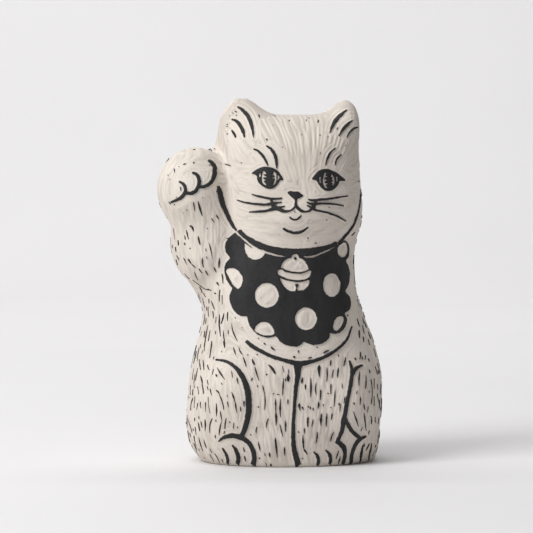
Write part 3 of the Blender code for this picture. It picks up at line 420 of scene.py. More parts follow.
        [(24.7, 86.2), (25.2, 88), (27, 89.3), (28.4, 89.5), (29.5, 87.7), (29.5, 85.3), (27.9, 83.5),
         (26.2, 83.8), (25, 85.1)],
        [(1.3, 79.8), (1.5, 80.6), (2, 81.7), (3.1, 82.9), (4.5, 83.6), (5.6, 83.8), (5.8, 84.4), (6.2, 85),
         (7, 85.2), (7.8, 85.1), (8.4, 84.5), (8.7, 83.7), (9.5, 83.5), (10.6, 82.7), (11.4, 81.7),
         (12.1, 80.4), (12.4, 79.5), (12.2, 79), (11.1, 78.5), (9.8, 78.2), (7.9, 78.1), (6.3, 78.2),
         (4.4, 78.7), (2.9, 79.2), (1.9, 79.6)],
        [(-0.1, 78.1), (0.2, 78.8), (0.9, 79.1), (1.9, 79), (3, 78.2), (4.4, 77.8), (6.2, 77.5),
         (8.2, 77.4), (9.8, 77.6), (11.3, 78), (12.4, 78.5), (13.5, 78.4), (13.6, 78), (13.3, 77.1),
         (12.8, 76.2), (11.7, 75.5), (10.6, 75.1), (8.9, 74.9), (7, 74.9), (5.2, 75.2), (3.6, 75.6),
         (2.1, 76.2), (0.9, 76.8), (0.2, 77.3)],
        [(1, 75.7), (2.1, 75.3), (3.4, 74.9), (4.9, 74.5), (7, 74.2), (9.2, 74.2), (10.9, 74.5),
         (12.6, 74.9), (12.8, 74.1), (12.3, 73), (11.7, 72), (10.8, 71.2), (9.8, 70.8), (8.7, 70.8),
         (7.9, 70.7), (7.8, 71.6), (8, 72.4), (8.4, 73), (8.2, 73.3), (7.3, 73.4), (7, 73.1), (7.3, 72.3),
         (7.3, 71.1), (6.8, 70.5), (5.7, 70.5), (4.3, 71), (3, 71.9), (2, 73.1), (1.3, 74.3)],
    ], cuts=[
        [(-16.8, 94.9, 0.98), (-15.6, 93.5, 0.98), (-13.9, 91.9, 0.94), (-12.2, 90.3, 0.98),
         (-9.7, 88.2, 1.02), (-6.8, 86.7, 1.02), (-3.9, 85.8, 1.02), (-0.6, 84.8, 0.9), (3.3, 84.2, 0.37)],
        [(10.2, 84.3, 0.37), (12.4, 84, 0.78), (15.3, 84.4, 0.78), (18.1, 85.5, 0.74), (20.8, 86.5, 0.7),
         (23.5, 87.8, 0.41)],
    ], rounds=[(-4.4, 68.9, 4.7, 4.9), (22.3, 72.6, 3.9, 4.7), (11.2, 59.5, 4.4, 4.5)]),
    "bell_loop_dot": dict(facing=-8, areas=[
        [(10.57, 83.51), (10.4, 83.09), (10.01, 82.92), (9.62, 83.1), (9.45, 83.52), (9.62, 83.93),
         (10.01, 84.11), (10.4, 83.93)],
    ]),
    "chest_and_foreleg_line": dict(facing=-5, strokes=[
        [(-11.1, 50.6, 1.06), (-9.2, 49, 1.39), (-5.8, 47, 1.39), (-0.7, 44.6, 1.31), (4.9, 42.9, 1.39),
         (9.9, 41.8, 2.04), (14.9, 42.5, 1.47), (20.6, 44.4, 1.23), (25.6, 47.2, 1.06), (29.3, 50.5, 0.82),
         (31.9, 55.9, 0.37)],
        [(9.5, 42.2, 4.5), (9.4, 39.8, 2.78), (9.2, 36, 1.88), (8.4, 30.5, 1.31), (7.9, 23.3, 1.19),
         (7.5, 15.3, 1.31), (7.9, 8, 1.72), (9.4, 2.2, 2.29), (9.8, 1, 2.29)],
    ]),
    "right_haunch_line": dict(facing=-22, strokes=[
        [(-15, 42.9, 0.41), (-12.2, 42.8, 0.74), (-8.9, 42, 0.98), (-5.4, 39.8, 1.31), (-2.6, 36.4, 1.72),
         (-0.6, 31.3, 1.96), (0, 25.9, 1.96), (-0.3, 21.1, 1.88), (-1.6, 16.3, 1.72), (-3.5, 12.2, 1.8)],
        [(-13.3, 10.4, 0.41), (-10.5, 12.2, 1.23), (-7, 13, 1.8), (-3.5, 12.3, 1.88), (-0.7, 10.2, 1.8),
         (0.8, 7, 1.72), (0.8, 3.4, 1.72), (0, 1, 2.04)],
    ]),
    "right_toe_line_inner": dict(facing=-22, strokes=[
        [(-7.3, 9, 0.41), (-6.2, 6.8, 1.31), (-5.8, 3.5, 1.55), (-6.7, 1, 1.47)],
    ]),
    "right_toe_line_outer": dict(facing=-22, strokes=[
        [(-12.1, 7.6, 0.37), (-10.9, 5.3, 0.98), (-10.7, 2.5, 1.15), (-11.2, 1, 0.82)],
    ]),
    "left_foreleg_and_foot_line": dict(facing=15, strokes=[
        [(19.7, 42.5, 0.57), (20.2, 39.4, 1.23), (19.5, 35.4, 1.39), (18.2, 30.8, 1.31), (16.9, 25.4, 1.39),
         (16.2, 19.6, 1.55), (15.7, 14.5, 1.47), (14.4, 10.4, 1.31)],
        [(13.7, 10.3, 1.15), (16.2, 8.8, 1.72), (18.1, 6.5, 1.64), (18.8, 3.3, 1.47), (18.5, 1, 1.55)],
        [(25.8, 40.4, 0.49), (22.9, 39.7, 1.23), (20.9, 38.1, 1.23), (19.7, 35.8, 0.98)],
        [(16.2, 20.4, 1.06), (17.6, 17.6, 1.31), (19.9, 14.4, 1.31), (22.9, 12.1, 1.31), (25, 10.7, 1.23)],
        [(27.8, 11.6, 0.57), (24.7, 10.7, 1.55), (22.7, 8.4, 1.64), (22.1, 4.8, 1.47), (22.6, 1, 1.55)],
    ]),
    "left_fore_toe_line_inner": dict(facing=0, strokes=[
        [(13.2, 6.4, 0.41), (14.8, 4.6, 1.15), (15.4, 2.4, 1.23), (15.2, 1, 1.15)],
    ]),
    "left_fore_toe_line_outer": dict(facing=0, strokes=[
        [(18.2, 6.8, 0.41), (19.9, 5, 1.15), (20.5, 2.6, 1.23), (20.1, 1, 1.15)],
    ]),
    "left_toe_line_inner": dict(facing=35, strokes=[
        [(14.1, 7.9, 0.41), (14.9, 4.9, 1.23), (16.5, 1, 0.98)],
    ]),
    "left_toe_line_outer": dict(facing=35, strokes=[
        [(20.1, 8.2, 0.37), (21.1, 4.8, 1.06), (22.6, 1, 0.74)],
    ]),
    "raised_paw_line": dict(facing=-14, strokes=[
        [(-22.4, 122.6, 0.57), (-20.8, 121.4, 1.15), (-19.7, 119.3, 1.39), (-19.8, 116.2, 1.39),
         (-21, 113.7, 1.31), (-23.1, 112.2, 1.23), (-25.6, 111.9, 0.98)],
        [(-28.3, 117.7, 0.49), (-26.6, 116.9, 1.15), (-25.5, 115.1, 1.31), (-25.5, 113.1, 1.31),
         (-26.3, 111, 1.39), (-28.3, 109.5, 1.31), (-31.2, 109.5, 0.98)],
        [(-33.5, 114.1, 0.49), (-31.8, 113.1, 1.06), (-30.9, 111.4, 1.23), (-31.2, 109.5, 1.31),
         (-33.2, 107.4, 1.31), (-37.1, 105.7, 0.65)],
    ]),
    "rear_collar_band": dict(facing=180, strokes=[
        [(-31, 93.2, 1.6), (-24, 91.2, 3.4), (-10, 89.4, 3.8), (4, 89.6, 3.8), (17, 92, 1.6)],
    ]),
    "tail_line": dict(facing=180, strokes=[
        [(-15.5, 3.4, 1.2), (-14.5, 14, 2.2), (-9.5, 27, 2.4), (-1, 37, 2.4), (8, 40.5, 2.4),
         (14.6, 36.5, 2.4), (15.2, 29, 2.4), (8.4, 24.2, 2.2), (2, 17, 2.2), (-0.8, 9, 2),
         (-1.2, 3.4, 1.2)],
    ]),
}

# The fur ticks of the front, seen from the heading FACING: across, height, run across, run up, width.
# They were read and turned into mm in the same way as the marks.
TICKS = (
    # head
    (-4.7, 141.1, 0.4, -1.5, 0.6), (0.8, 140.8, 1.7, -0.5, 0.4), (15.1, 139.5, 1.1, -0.1, 0.4),
    (14.6, 138.9, 0, -0.5, 0.3), (19.5, 138.8, -0.4, -1.3, 0.5), (7.6, 138.7, 0.1, -0.5, 0.5),
    (1.2, 136.7, 0, -0.4, 0.3), (12.6, 133, 0.1, -0.4, 0.5), (20, 132.8, 0, -0.4, 0.4),
    (23.1, 132.1, 0.1, -0.4, 0.4), (27.2, 135.7, -0.4, -0.7, 0.4), (-1.5, 131.3, 0.5, -0.7, 0.5),
    (20, 125.7, 0.1, -0.4, 0.4), (4.9, 128, 0, -0.4, 0.3), (30.4, 128.7, 0, -0.4, 0.4),
    (-14.3, 142.4, 1, -0.5, 0.4), (-15.5, 141.6, 0.8, -0.1, 0.3), (-16.5, 140.3, 0.5, 0.4, 0.3),
    (-13.8, 140.6, 0.5, 0.3, 0.4), (-17.5, 137.1, 0.5, -0.3, 0.5), (-17.8, 136.1, 0.9, 0, 0.3),
    (-17.6, 133.2, 0.5, -0.1, 0.4), (9.7, 102.4, 0.1, -0.5, 0.5), (23.5, 104, 0, -0.4, 0.4),
    (22.5, 99, 0.1, -0.4, 0.4), (15, 91.7, 0.1, -0.4, 0.4), (17.9, 89.5, 0.7, 0.1, 0.4),
    (32.9, 92.1, 1.4, 1.5, 0.4), (35.7, 114.2, 0.5, -0.5, 0.4), (-17.2, 91.4, 0, -0.4, 0.4),
    # arm
    (-41, 123.3, -1.3, -1.8, 0.4), (-38.5, 119.3, 0.3, -1.7, 0.5), (-34.8, 120.8, 1.3, 0.4, 0.5),
    (-30.8, 121.6, 0.7, -0.1, 0.7), (-36.6, 120, 0.3, -0.1, 0.3), (-40.9, 116.9, 0.1, -0.7, 0.3),
    (-40.3, 115.1, 0.1, -0.4, 0.3), (-31, 127, 1, -0.1, 0.3), (-25, 126.8, 0.9, 0.3, 0.2),
    (-22.8, 127.3, 0.4, 0, 0.3), (-18.3, 121.1, 2.5, -0.8, 0.4), (-11.7, 121.6, 0.5, 0, 0.4),
    (-21.3, 110.3, 0, -0.4, 0.4), (-24.1, 120.9, 0, -0.3, 0.3), (-35.8, 112, 0.3, -1.7, 0.4),
    (-37.4, 108, 0, -0.4, 0.4), (-40.6, 105.9, 0.9, -1, 0.4), (-38.5, 104.9, 0.3, -0.3, 0.3),
    (-30.6, 106, 0.4, -3.8, 0.4), (-28.7, 106.2, 1.6, -5.8, 0.8), (-26.9, 107.7, 0, -0.3, 0.3),
    (-33.3, 102.9, -0.1, -0.6, 0.4), (-34.8, 101.6, 0, -0.3, 0.3), (-21.5, 100.8, 1.1, -1.9, 0.5),
    (-23.5, 99.3, 1.2, -1.5, 0.4), (-31.8, 96.6, 1.2, -2.5, 0.8), (-32.3, 96.4, 0.9, -0.8, 0.4),
    (-33.6, 94.5, 0.9, -3.7, 0.4), (-34.3, 92.4, 0.2, -1.9, 0.3), (-28.8, 92.2, 0.8, -3.6, 0.7),
    (-24.5, 89.6, 1.5, -6.7, 0.4), (-25.1, 95.5, 0, -0.4, 0.4), (-37.1, 90.4, 0.1, -2.3, 0.4),
    (-34.6, 89.5, 0.4, -1.1, 0.4), (-32.3, 87.4, 0, -0.4, 0.5), (-38.9, 95, 0.5, -4.4, 0.4),
    (-37.9, 84, 1, -2, 0.4), (-35, 83.2, 1.5, -2.8, 0.4), (-33.1, 83, 1.5, -2.1, 0.7),
    (-31.6, 80.9, 1.7, -1.7, 0.4), (-27.1, 83.6, 0.3, -4.1, 0.5), (-25.5, 84.1, 0.3, -1.3, 0.3),
    (-28.6, 79, 1.4, -1.9, 0.4), (-26, 78.2, 1.1, -2.1, 0.4), (-22.6, 79.7, 1, -2.2, 0.4),
    (-20.3, 83.4, -0.3, -4.1, 0.6), (-21.6, 73.6, 1.2, -1.3, 0.6), (-31.3, 74.2, 2.5, -2.2, 0.3),
    (-28.9, 72, 2.6, -1.6, 0.3), (-26.3, 70.3, 2.7, -0.3, 0.4), (-22.4, 69.2, 0.6, -0.2, 0.5),
    (-27.1, 68.6, 1.1, -1.3, 0.3), (-27.5, 66.2, 1.2, -3.5, 0.5), (-23.7, 66.1, 1.3, -3.7, 0.4),
    # waist
    (-17, 91.5, 0, -0.5, 0.5), (-24.9, 63.5, 0.1, -4, 0.4), (-23.2, 61.8, 0.3, -2.8, 0.4),
    (-20.4, 60.9, 0.5, -8.9, 0.6), (-18.6, 61.3, -1.1, -4.2, 0.5), (-17, 62, 0, -3.7, 0.4),
    (-21.8, 59.8, -0.1, -2.7, 0.4), (-15.3, 57.5, 2.3, -7.1, 0.5), (-25, 56.1, -1.7, -10.4, 0.5),
    (-18.8, 54.6, 0.7, -6.5, 0.5), (-16.7, 54.8, 0, -1.7, 0.4), (-19.5, 46.4, 0.1, -0.5, 0.4),
    (-14.7, 48.2, 0.8, -2.9, 0.4), (-11.2, 56.1, 0, -0.5, 0.4), (-14, 60, 0.1, -0.5, 0.4),
    (-4.7, 52, 0.1, -0.5, 0.4), (11.2, 46.6, 0, -0.5, 0.5), (35.3, 58.8, 1, -3.4, 0.4),
    (36.1, 54.2, 0, -3.3, 0.8), (39.8, 50.1, 0.7, -2.4, 0.4), (31.3, 60.5, 0, -0.5, 0.5),
    (37.8, 51.4, 0.2, -2.1, 0.4), (15.1, 91.8, 0, -0.5, 0.5), (17.7, 89.6, 0.9, -0.1, 0.3),
    # lower
    (-26.2, 50, -0.5, -2.7, 0.4), (-23.5, 50, -0.8, -6.7, 0.6), (-18.8, 50.4, 0.6, -2.8, 0.3),
    (-14.5, 47.7, 0.8, -2.6, 0.4), (-12.5, 48.3, 1.7, -3.2, 0.4), (-10.8, 44.4, 1.3, -4, 0.5),
    (-9, 45.4, 0.2, -0.5, 0.5), (-7.2, 43.7, 1.1, -2.5, 0.8), (-6.1, 40.6, 1.7, -5.6, 0.5),
    (-5.3, 45.6, 0.1, -0.5, 0.5), (-28.8, 42.2, 0.8, -3.9, 0.5), (-27.1, 42.3, 0.6, -3.9, 0.5),
    (-25.1, 40.7, 0.9, -2.1, 0.4), (-21.2, 39.9, 3.1, -4.4, 0.5), (-21.8, 37.3, 0.6, -1, 0.5),
    (-30.3, 36.2, -0.4, -5.6, 0.5), (-27.9, 36, 0.7, -2.9, 0.6), (-27.4, 33, 0.6, -4, 0.5),
    (-29.3, 31.5, 0.6, -2.9, 0.4), (-25.2, 34.8, 0.4, -1.9, 0.3), (-24, 31.6, 0.7, -2.7, 0.4),
    (-25.2, 32.4, 0.4, -1.6, 0.3), (-21.6, 31.2, 1.4, -1.2, 0.5), (-20.3, 29.9, 1.9, -6.5, 0.5),
    (-19.4, 34.2, 0.4, -1, 0.3), (-31.3, 30, -0.2, -2.4, 0.4), (-31.3, 26.7, -0.9, -5.3, 0.6),
    (-15.3, 30.7, 1.2, -3.8, 0.5), (-13.9, 26.9, 0.7, -4.7, 0.5), (-17.1, 29.5, 0.3, -0.8, 0.3),
    (-17.1, 26.9, 0.4, -2.4, 0.4), (-11.8, 24.9, 0.1, -2, 0.4), (-10.3, 27.2, 0, -2.3, 0.5),
    (-28, 25.8, 0.3, -2.6, 0.4), (-24.8, 28.2, 0.7, -6.6, 0.3), (-19.9, 23, 0.8, -4.3, 0.5),
    (-19.3, 18.7, -1.1, -5.6, 0.5), (-23.2, 19.7, -0.9, -6.3, 0.5), (-21.7, 19.3, 0.1, -0.9, 0.4),
    (-26.3, 18.8, 0.1, -4.9, 0.7), (-28.7, 20, 0.1, -1.3, 0.5), (-33.3, 17.7, 1.8, -5.6, 0.4),
    (-17.5, 20.2, -0.6, -4.6, 0.5), (-18.1, 15, -0.4, -1.4, 0.3), (-16.1, 18.9, 0, -0.7, 0.4),
    (-13, 16.8, 0.1, -0.7, 0.4), (-7, 36.3, -0.7, -1.3, 0.5), (-5, 33.3, 0.2, -0.8, 0.4),
    (-3, 33.3, 0.9, -4, 0.4), (-2.2, 29.4, -0.1, -6, 0.5), (-4.7, 25, 0, -0.7, 0.5),
    (-0.7, 41.4, 2.8, -3.8, 1.1), (-1.4, 37.8, 0, -0.7, 0.7), (0.2, 48.5, 1.8, -1.4, 0.7),
    (-2.7, 50, 1, -0.7, 0.5), (7.4, 39.6, -0.3, -2.3, 0.3), (7.1, 37.6, 0.1, -3, 1),
    (5.3, 36.1, -0.4, -6.9, 0.5), (6.1, 36, 0.1, -1.3, 0.4), (1.3, 30.2, 0.1, -0.6, 0.5),
    (2.6, 29.7, 1.2, -0.2, 0.4), (2.1, 27.9, 0.1, -5.8, 0.5), (2.2, 22.8, 0.1, -5.7, 0.8),
    (4.1, 27.9, 0, -7.5, 0.6), (-0.6, 20.1, -1, -4, 0.5), (6.1, 19.1, 0, -4.4, 0.6),
    (-5.2, 16.8, -0.4, -2.8, 0.5), (-7.8, 13.7, 0.1, -0.5, 0.5), (2, 12.4, 0.9, -8.2, 0.7),
    (-0.3, 6.3, 0.3, -2.1, 0.6), (-4.3, 4, 0.1, -0.6, 0.5), (0.3, 1.7, 0.1, -1.7, 0.7),
    (9.5, 44.9, 0.2, -1.1, 0.7), (11.4, 47.1, 0, -0.5, 0.5), (15.2, 43.8, 1.5, 0.4, 0.5),
    (18.7, 48.4, 0.1, -0.5, 0.5), (21.2, 45.7, 2.3, 1.1, 0.5), (27.3, 44.9, 0, -0.5, 0.5),
    (13, 36.2, -0.4, -2.3, 0.7), (14, 33.6, 0, -2.2, 0.6), (16.2, 36, -0.2, -7.7, 0.7),
    (18.4, 34, -0.1, -4.8, 0.5), (19.6, 41.1, 0, -4.8, 1.1), (20.2, 31.3, -0.2, -4.1, 0.7),
    (22.6, 40, -0.1, -5.5, 0.5), (24.3, 33.6, -0.1, -4.2, 0.6), (23.1, 30, 0, -0.6, 0.5),
    (24.3, 42.9, -0.3, -2.3, 0.5), (27.3, 39.9, -0.4, -3.9, 0.7), (25.9, 31.1, -0.4, -6.6, 0.5),
    (11.6, 26.1, 0.4, -3.1, 0.7), (12.6, 24.6, 0.9, -1.3, 0.5), (15.2, 24.9, 0, -0.7, 0.5),
    (16, 24.7, 0, -1.2, 0.4), (17.1, 24.2, 0, -1.3, 0.4), (19.2, 26.6, -0.1, -2.9, 0.7),
    (21.2, 25.5, -0.1, -0.9, 0.4), (23.9, 24, 0.7, 0.1, 0.4), (27.5, 25.9, 0.1, -1.1, 0.5),
    (15.1, 20.5, -0.1, -4.2, 0.8), (20.6, 21.7, -0.3, -4.9, 0.8), (22.7, 21.8, -0.3, -5.4, 0.6),
    (24.8, 21.8, -0.4, -2.7, 0.6), (13.6, 16.1, 0, -2.2, 0.5), (11.4, 14.8, 0, -0.6, 0.6),
    (13, 13.4, 0.4, -5.9, 0.7), (13.4, 7.5, 1.5, -2.2, 0.7), (18.8, 14.4, -0.5, -4.7, 0.6),
    (25.4, 14.2, -1.2, -4, 0.5), (29.9, 28.5, -0.5, -2.8, 0.5), (28, 25.7, -0.3, -3.3, 0.4),
    (29.6, 22.4, -1.3, -5.5, 0.5), (12.9, 3.9, 0.1, -0.6, 0.4), (36.5, 45.7, -0.5, -2.9, 0.5),
    (37.2, 43.9, -0.1, -1.3, 0.4), (38.6, 44.2, -0.3, -1.8, 0.4), (39.9, 42.8, 0.2, -1.3, 0.4),
    (35.9, 38, -0.3, -5.5, 0.5), (38.4, 36.5, -0.1, -5.3, 0.5), (40.7, 34.6, -0.1, -9.9, 0.5),
    (42.1, 34.7, -0.1, -4.2, 0.3), (43.3, 28.6, 0.4, -4, 0.4), (33.2, 22.4, 2.2, -6.4, 0.5),
    (37.6, 21.5, 1.1, -7.5, 0.5), (40.5, 20, 0.4, -3.6, 0.5), (42.4, 19.3, 0.4, -2.9, 0.4),
    (33.4, 26, 0.2, -1, 0.4), (37.4, 25.4, 0.6, -2.7, 0.4), (37.9, 8.7, 0.1, -1.6, 0.4),
    (-28.7, 11.2, 1.7, -5.8, 0.5), (-30.9, 8, 1.4, -3.6, 0.4), (-24.2, 7, 0.8, -2.1, 0.4),
    (-22.4, 5, 2.3, -4.5, 0.5), (-28.6, 6.3, 0.2, -1.1, 0.4), (-29.9, 47.1, -1.1, -4.2, 0.3),
    (45, 31.9, -0.2, -4.1, 0.5),
)


# ------------------------------------------------------------------ the clay form

def section_at(z, column):
    """One column of the section table at the heights z, as a smooth curve through the table."""
    heights, values = SECTIONS[:, 0], SECTIONS[:, column]
    slopes = np.gradient(values, heights)
    i = np.clip(np.searchsorted(heights, z) - 1, 0, len(heights) - 2)
    span = heights[i + 1] - heights[i]
    t = np.clip((z - heights[i]) / span, 0.0, 1.0)
    return ((2 * t**3 - 3 * t**2 + 1) * values[i] + (t**3 - 2 * t**2 + t) * span * slopes[i]
            + (3 * t**2 - 2 * t**3) * values[i + 1] + (t**3 - t**2) * span * slopes[i + 1])


def soft_join(a, b, blend):
    """The nearer of two distances, rounded where they meet."""
    h = np.clip(0.5 + 0.5 * (b - a) / blend, 0.0, 1.0)
    return b + (a - b) * h - blend * h * (1.0 - h)


def bulge(x, y, z, centre, radii):
    """Distance from an ellipsoid."""
    p = [x - centre[0], y - centre[1], z - centre[2]]
    near = np.sqrt(sum((v / r) ** 2 for v, r in zip(p, radii)))
    slope = np.sqrt(sum((v / r**2) ** 2 for v, r in zip(p, radii)))
    return near * (near - 1.0) / np.maximum(slope, 1e-9)


def form(x, y, z):
    """Distance from the uncarved clay surface in mm, negative inside."""
    right, left, front, back, power = (section_at(z, column) for column in range(1, 6))
    dx = np.abs(x - (right + left) / 2) + 1e-6
    dy = np.abs(y - (front + back) / 2) + 1e-6
    ratio = ((2 * dx / (left - right)) ** power + (2 * dy / (back - front)) ** power) ** (1 / power)
    flank = np.hypot(dx, dy) * (1.0 - 1.0 / ratio)
    crown = CROWN_HEIGHT - CROWN_FALL[0] * (x - CROWN_MIDDLE[0]) ** 2 \
        - CROWN_FALL[1] * (y - CROWN_MIDDLE[1]) ** 2
    for ear_x, ear_y, rise, half_width, half_depth in EARS:
        sideways = np.abs((x - ear_x) / half_width) ** EAR_SHARPNESS
        crown = crown + rise * np.exp(-sideways - ((y - ear_y) / half_depth) ** 2)
    body = -soft_join(-flank, -(z - crown) * CROWN_SLOPE, CROWN_BLEND)
    for centre, radii, blend in (MUZZLE, *HAUNCHES):
        body = soft_join(body, bulge(x, y, z, centre, radii), blend)
    arm = bulge(x, y, z, *SHOULDER)
    for centre, radii, blend in (UPPER_ARM, PAW):
        arm = soft_join(arm, bulge(x, y, z, centre, radii), blend)
    behind = np.clip((y - ARM_BACK[0]) / (ARM_BACK[1] - ARM_BACK[0]), 0.0, 1.0)
    return soft_join(body, arm, ARM_BLEND + ARM_BACK_BLEND * behind)


def crossing(origins, directions, low, high, level):
    """Where each line passes the form's `level`, between the distances low (inside) and high (outside)."""
    for _ in range(HALVINGS):
        middle = (low + high) / 2
        inside = form(*(origins + directions * middle[:, None]).T) < level
        low = np.where(inside, middle, low)
        high = np.where(inside, high, middle)
    return origins + directions * ((low + high) / 2)[:, None]


def on_form(origins, directions, level):
    """The points where rays from inside the body reach the surface `level` mm outside the clay."""
    return crossing(origins, directions, np.ones(len(origins)), np.full(len(origins), REACH), level)


def slope_of(points):
    """The form's gradient at each point."""
    reach = 0.02
    columns = []
    for axis in range(3):
        step = np.zeros(3)
        step[axis] = reach
        columns.append(form(*(points + step).T) - form(*(points - step).T))
    return np.stack(columns, 1) / (2 * reach)


def unit(vectors):
    return vectors / np.maximum(np.linalg.norm(vectors, axis=1), 1e-9)[:, None]


def normal_of(points):
    return unit(slope_of(points))


def settled(points):
    """The points moved onto the surface of the form."""
    for _ in range(2):
        slope = slope_of(points)
        steep = np.maximum((slope**2).sum(1), 0.05)
        points = points - slope * (form(*points.T) / steep)[:, None]
    return points


def foot_inset(z):
    """How far the rounded foot edge lies inside the form at the height z."""
    under = np.clip(FOOT_ROUND - z, 0.0, FOOT_ROUND)
    return FOOT_ROUND - np.sqrt(FOOT_ROUND**2 - under**2)


def smoothly(value, start, end):
    """0 up to the start, 1 from the end, and a soft rise between them."""
    t = np.clip((value - start) / (end - start), 0.0, 1.0)
    return t * t * (3 - 2 * t)


def fading(value, limit, width):
    """1 well under the limit, 0 from the limit on, with a soft fall over the width before it."""
    return smoothly(limit - value, 0.0, width)


def unevenness(points):
    """The slow swells that a hand leaves on clay, which die out at the foot."""
    x, y, z = points.T
    swell = UNEVEN * (np.sin(x * 0.31 + 1.3 * np.sin(z * 0.11)) * np.sin(y * 0.27 + 0.8)
                      + 0.7 * np.sin(z * 0.43 + 1.1 * np.sin(x * 0.17 + 2.0) + y * 0.12))
    return swell * smoothly(z, *SWELLS_SET_IN)


def settling(points):
    """How far outside the form the real ground lies, with its swells and its rounded foot edge."""
    return unevenness(points) - foot_inset(points[:, 2])


def axes_of(facing):
    """The directions across a drawing, and out of it towards its viewer, for its heading."""
    turn = math.radians(facing)
    return np.array([math.cos(turn), math.sin(turn), 0.0]), np.array([math.sin(turn), -math.cos(turn), 0.0])


def tree_of(points):
    """A search tree of points in space."""
    tree = KDTree(len(points))
    for index, point in enumerate(points.tolist()):
        tree.insert(point, index)
    tree.balance()
    return tree


# ------------------------------------------------------------------ meshes

def to_row(points):
    return (np.asarray(points, float) - (MIDDLE[0], MIDDLE[1], 0.0)) * MM


def new_piece(name, points, faces, material):
    """A mesh object from points in mm and faces of three or four corners, on the figure's one body."""
    mesh = bpy.data.meshes.new(name)
    mesh.from_pydata(to_row(points).tolist(), [], faces)
    mesh.polygons.foreach_set("use_smooth", np.ones(len(mesh.polygons), bool))
    mesh.materials.append(material)
    mesh.update()
    obj = bpy.data.objects.new(name, mesh)
    bpy.context.scene.collection.objects.link(obj)
    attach(obj, "root")
    return obj


def point_values(obj, name, values):
    """Stores one number for each point of the mesh, for its material to read."""
    layer = obj.data.attributes.new(name, "FLOAT", "POINT")
    layer.data.foreach_set("value", np.asarray(values, np.float32))


# ------------------------------------------------------------------ the carved clay body

def lay_of(points):
    """The direction in which the loop tool was drawn at each point of the surface."""
    x, y, z = points.T
    front = smoothly(-y, *FRONT_RISES)
    side = np.tanh((x - FACE_MIDDLE) / FACE_TURN)
    flat = np.zeros_like(x)
    up = np.zeros_like(points)
    up[:, 2] = 1.0
    lay = up.copy()
    # the haunches and the flanks lean a little outwards
    lay[:, 0] += LEAN * side * front * fading(z, *LEAN_ENDS)
    # the forehead fans out from the bridge of the nose
    fan = np.stack([x - FACE_MIDDLE, flat, z - BRIDGE_HEIGHT], 1)
    brow = smoothly(z, *BROW_RISES) * front
    lay += (unit(fan) - up) * brow[:, None]
    # the cheeks and the chin are cut across
    across = np.stack([side, flat, CHEEK_SLANT * np.abs(side) - CHEEK_DROP], 1)
    cheek = smoothly(z, *CHEEK_RISES) * fading(z, *CHEEK_ENDS) * front * smoothly(x, *CHEEK_SIDE)
    cheek *= np.maximum(smoothly(np.abs(x - FACE_MIDDLE), *MUZZLE_SIDE), fading(z, *CHIN_ENDS))
    lay += (across - lay) * cheek[:, None]
    # round the bib, the cuts follow its lower edge
    round_bib = unit(np.stack([BIB_MIDDLE[1] - z, flat, x - BIB_MIDDLE[0]], 1))
    chest = smoothly(z, *CHEST_RISES) * fading(z, *CHEST_ENDS) * front
    chest *= fading(np.abs(x - BIB_MIDDLE[0]), *CHEST_SIDE)
    lay += (round_bib - lay) * chest[:, None]
    # the spots of the bib are cut aslant
    spots = smoothly(z, *SPOTS_RISE) * fading(z, *SPOTS_END) * front * smoothly(x, *SPOTS_RIGHT)
    lay += (np.array(SPOTS_LAY) - lay) * (spots * fading(x, *SPOTS_LEFT))[:, None]
    # the paw is cut round its end
    from_paw = points - np.array(PAW[0])
    round_paw = np.stack([from_paw[:, 2], flat, -from_paw[:, 0]], 1)
    paw = smoothly(z, *PAW_RISES) * fading(x, *PAW_SIDE)
    lay += (unit(round_paw) - lay) * paw[:, None]
    # over the crown, from front to back
    normal = normal_of(points)
    over = smoothly(normal[:, 2], *CROWN_TURNS)[:, None]
    lay += (np.array(CROWN_LAY) - lay) * over
    lay -= normal * (lay * normal).sum(1)[:, None]
    return unit(lay), normal


def body_rows():
    """The rows of rays that make the body: (height on the core, rise, level) from the crown's top, down the
    outside, under the foot and up the inside."""
    rows = [(CORE_TOP, math.pi / 2 * (1 - k / CROWN_ROWS), 0.0) for k in range(1, CROWN_ROWS)]
    rows += [(z, 0.0, 0.0) for z in np.linspace(CORE_TOP, FOOT_ROUND, SIDE_ROWS)]
    for turn in np.radians((18, 36, 54, 72, 90)):
        rows.append((FOOT_ROUND * (1 - math.sin(turn)), 0.0, -FOOT_ROUND * (1 - math.cos(turn))))
    for share in (0.25, 0.5, 0.75, 1.0):
        rows.append((0.0, 0.0, -FOOT_ROUND - share * (WALL - FOOT_LIP - FOOT_ROUND)))
    for turn in np.radians((30, 60, 90)):
        rows.append((FOOT_LIP * (1 - math.cos(turn)), 0.0, -WALL + FOOT_LIP * (1 - math.sin(turn))))
    rows += [(z, 0.0, -WALL) for z in np.linspace(FOOT_LIP, CORE_TOP, INNER_SIDE_ROWS)[1:]]
    rows += [(CORE_TOP, math.pi / 2 * k / INNER_CROWN_ROWS, -WALL) for k in range(1, INNER_CROWN_ROWS)]
    return np.array(rows)


def ray_of(rows, headings):
    """Origins and directions of the rays with these row values and headings."""
    height, rise = rows[:, 0], rows[:, 1]
    origins = np.stack([np.full(len(height), CORE_XY[0]), np.full(len(height), CORE_XY[1]), height], 1)
    flat = np.cos(rise)
    return origins, np.stack([flat * np.cos(headings), flat * np.sin(headings), np.sin(rise)], 1)


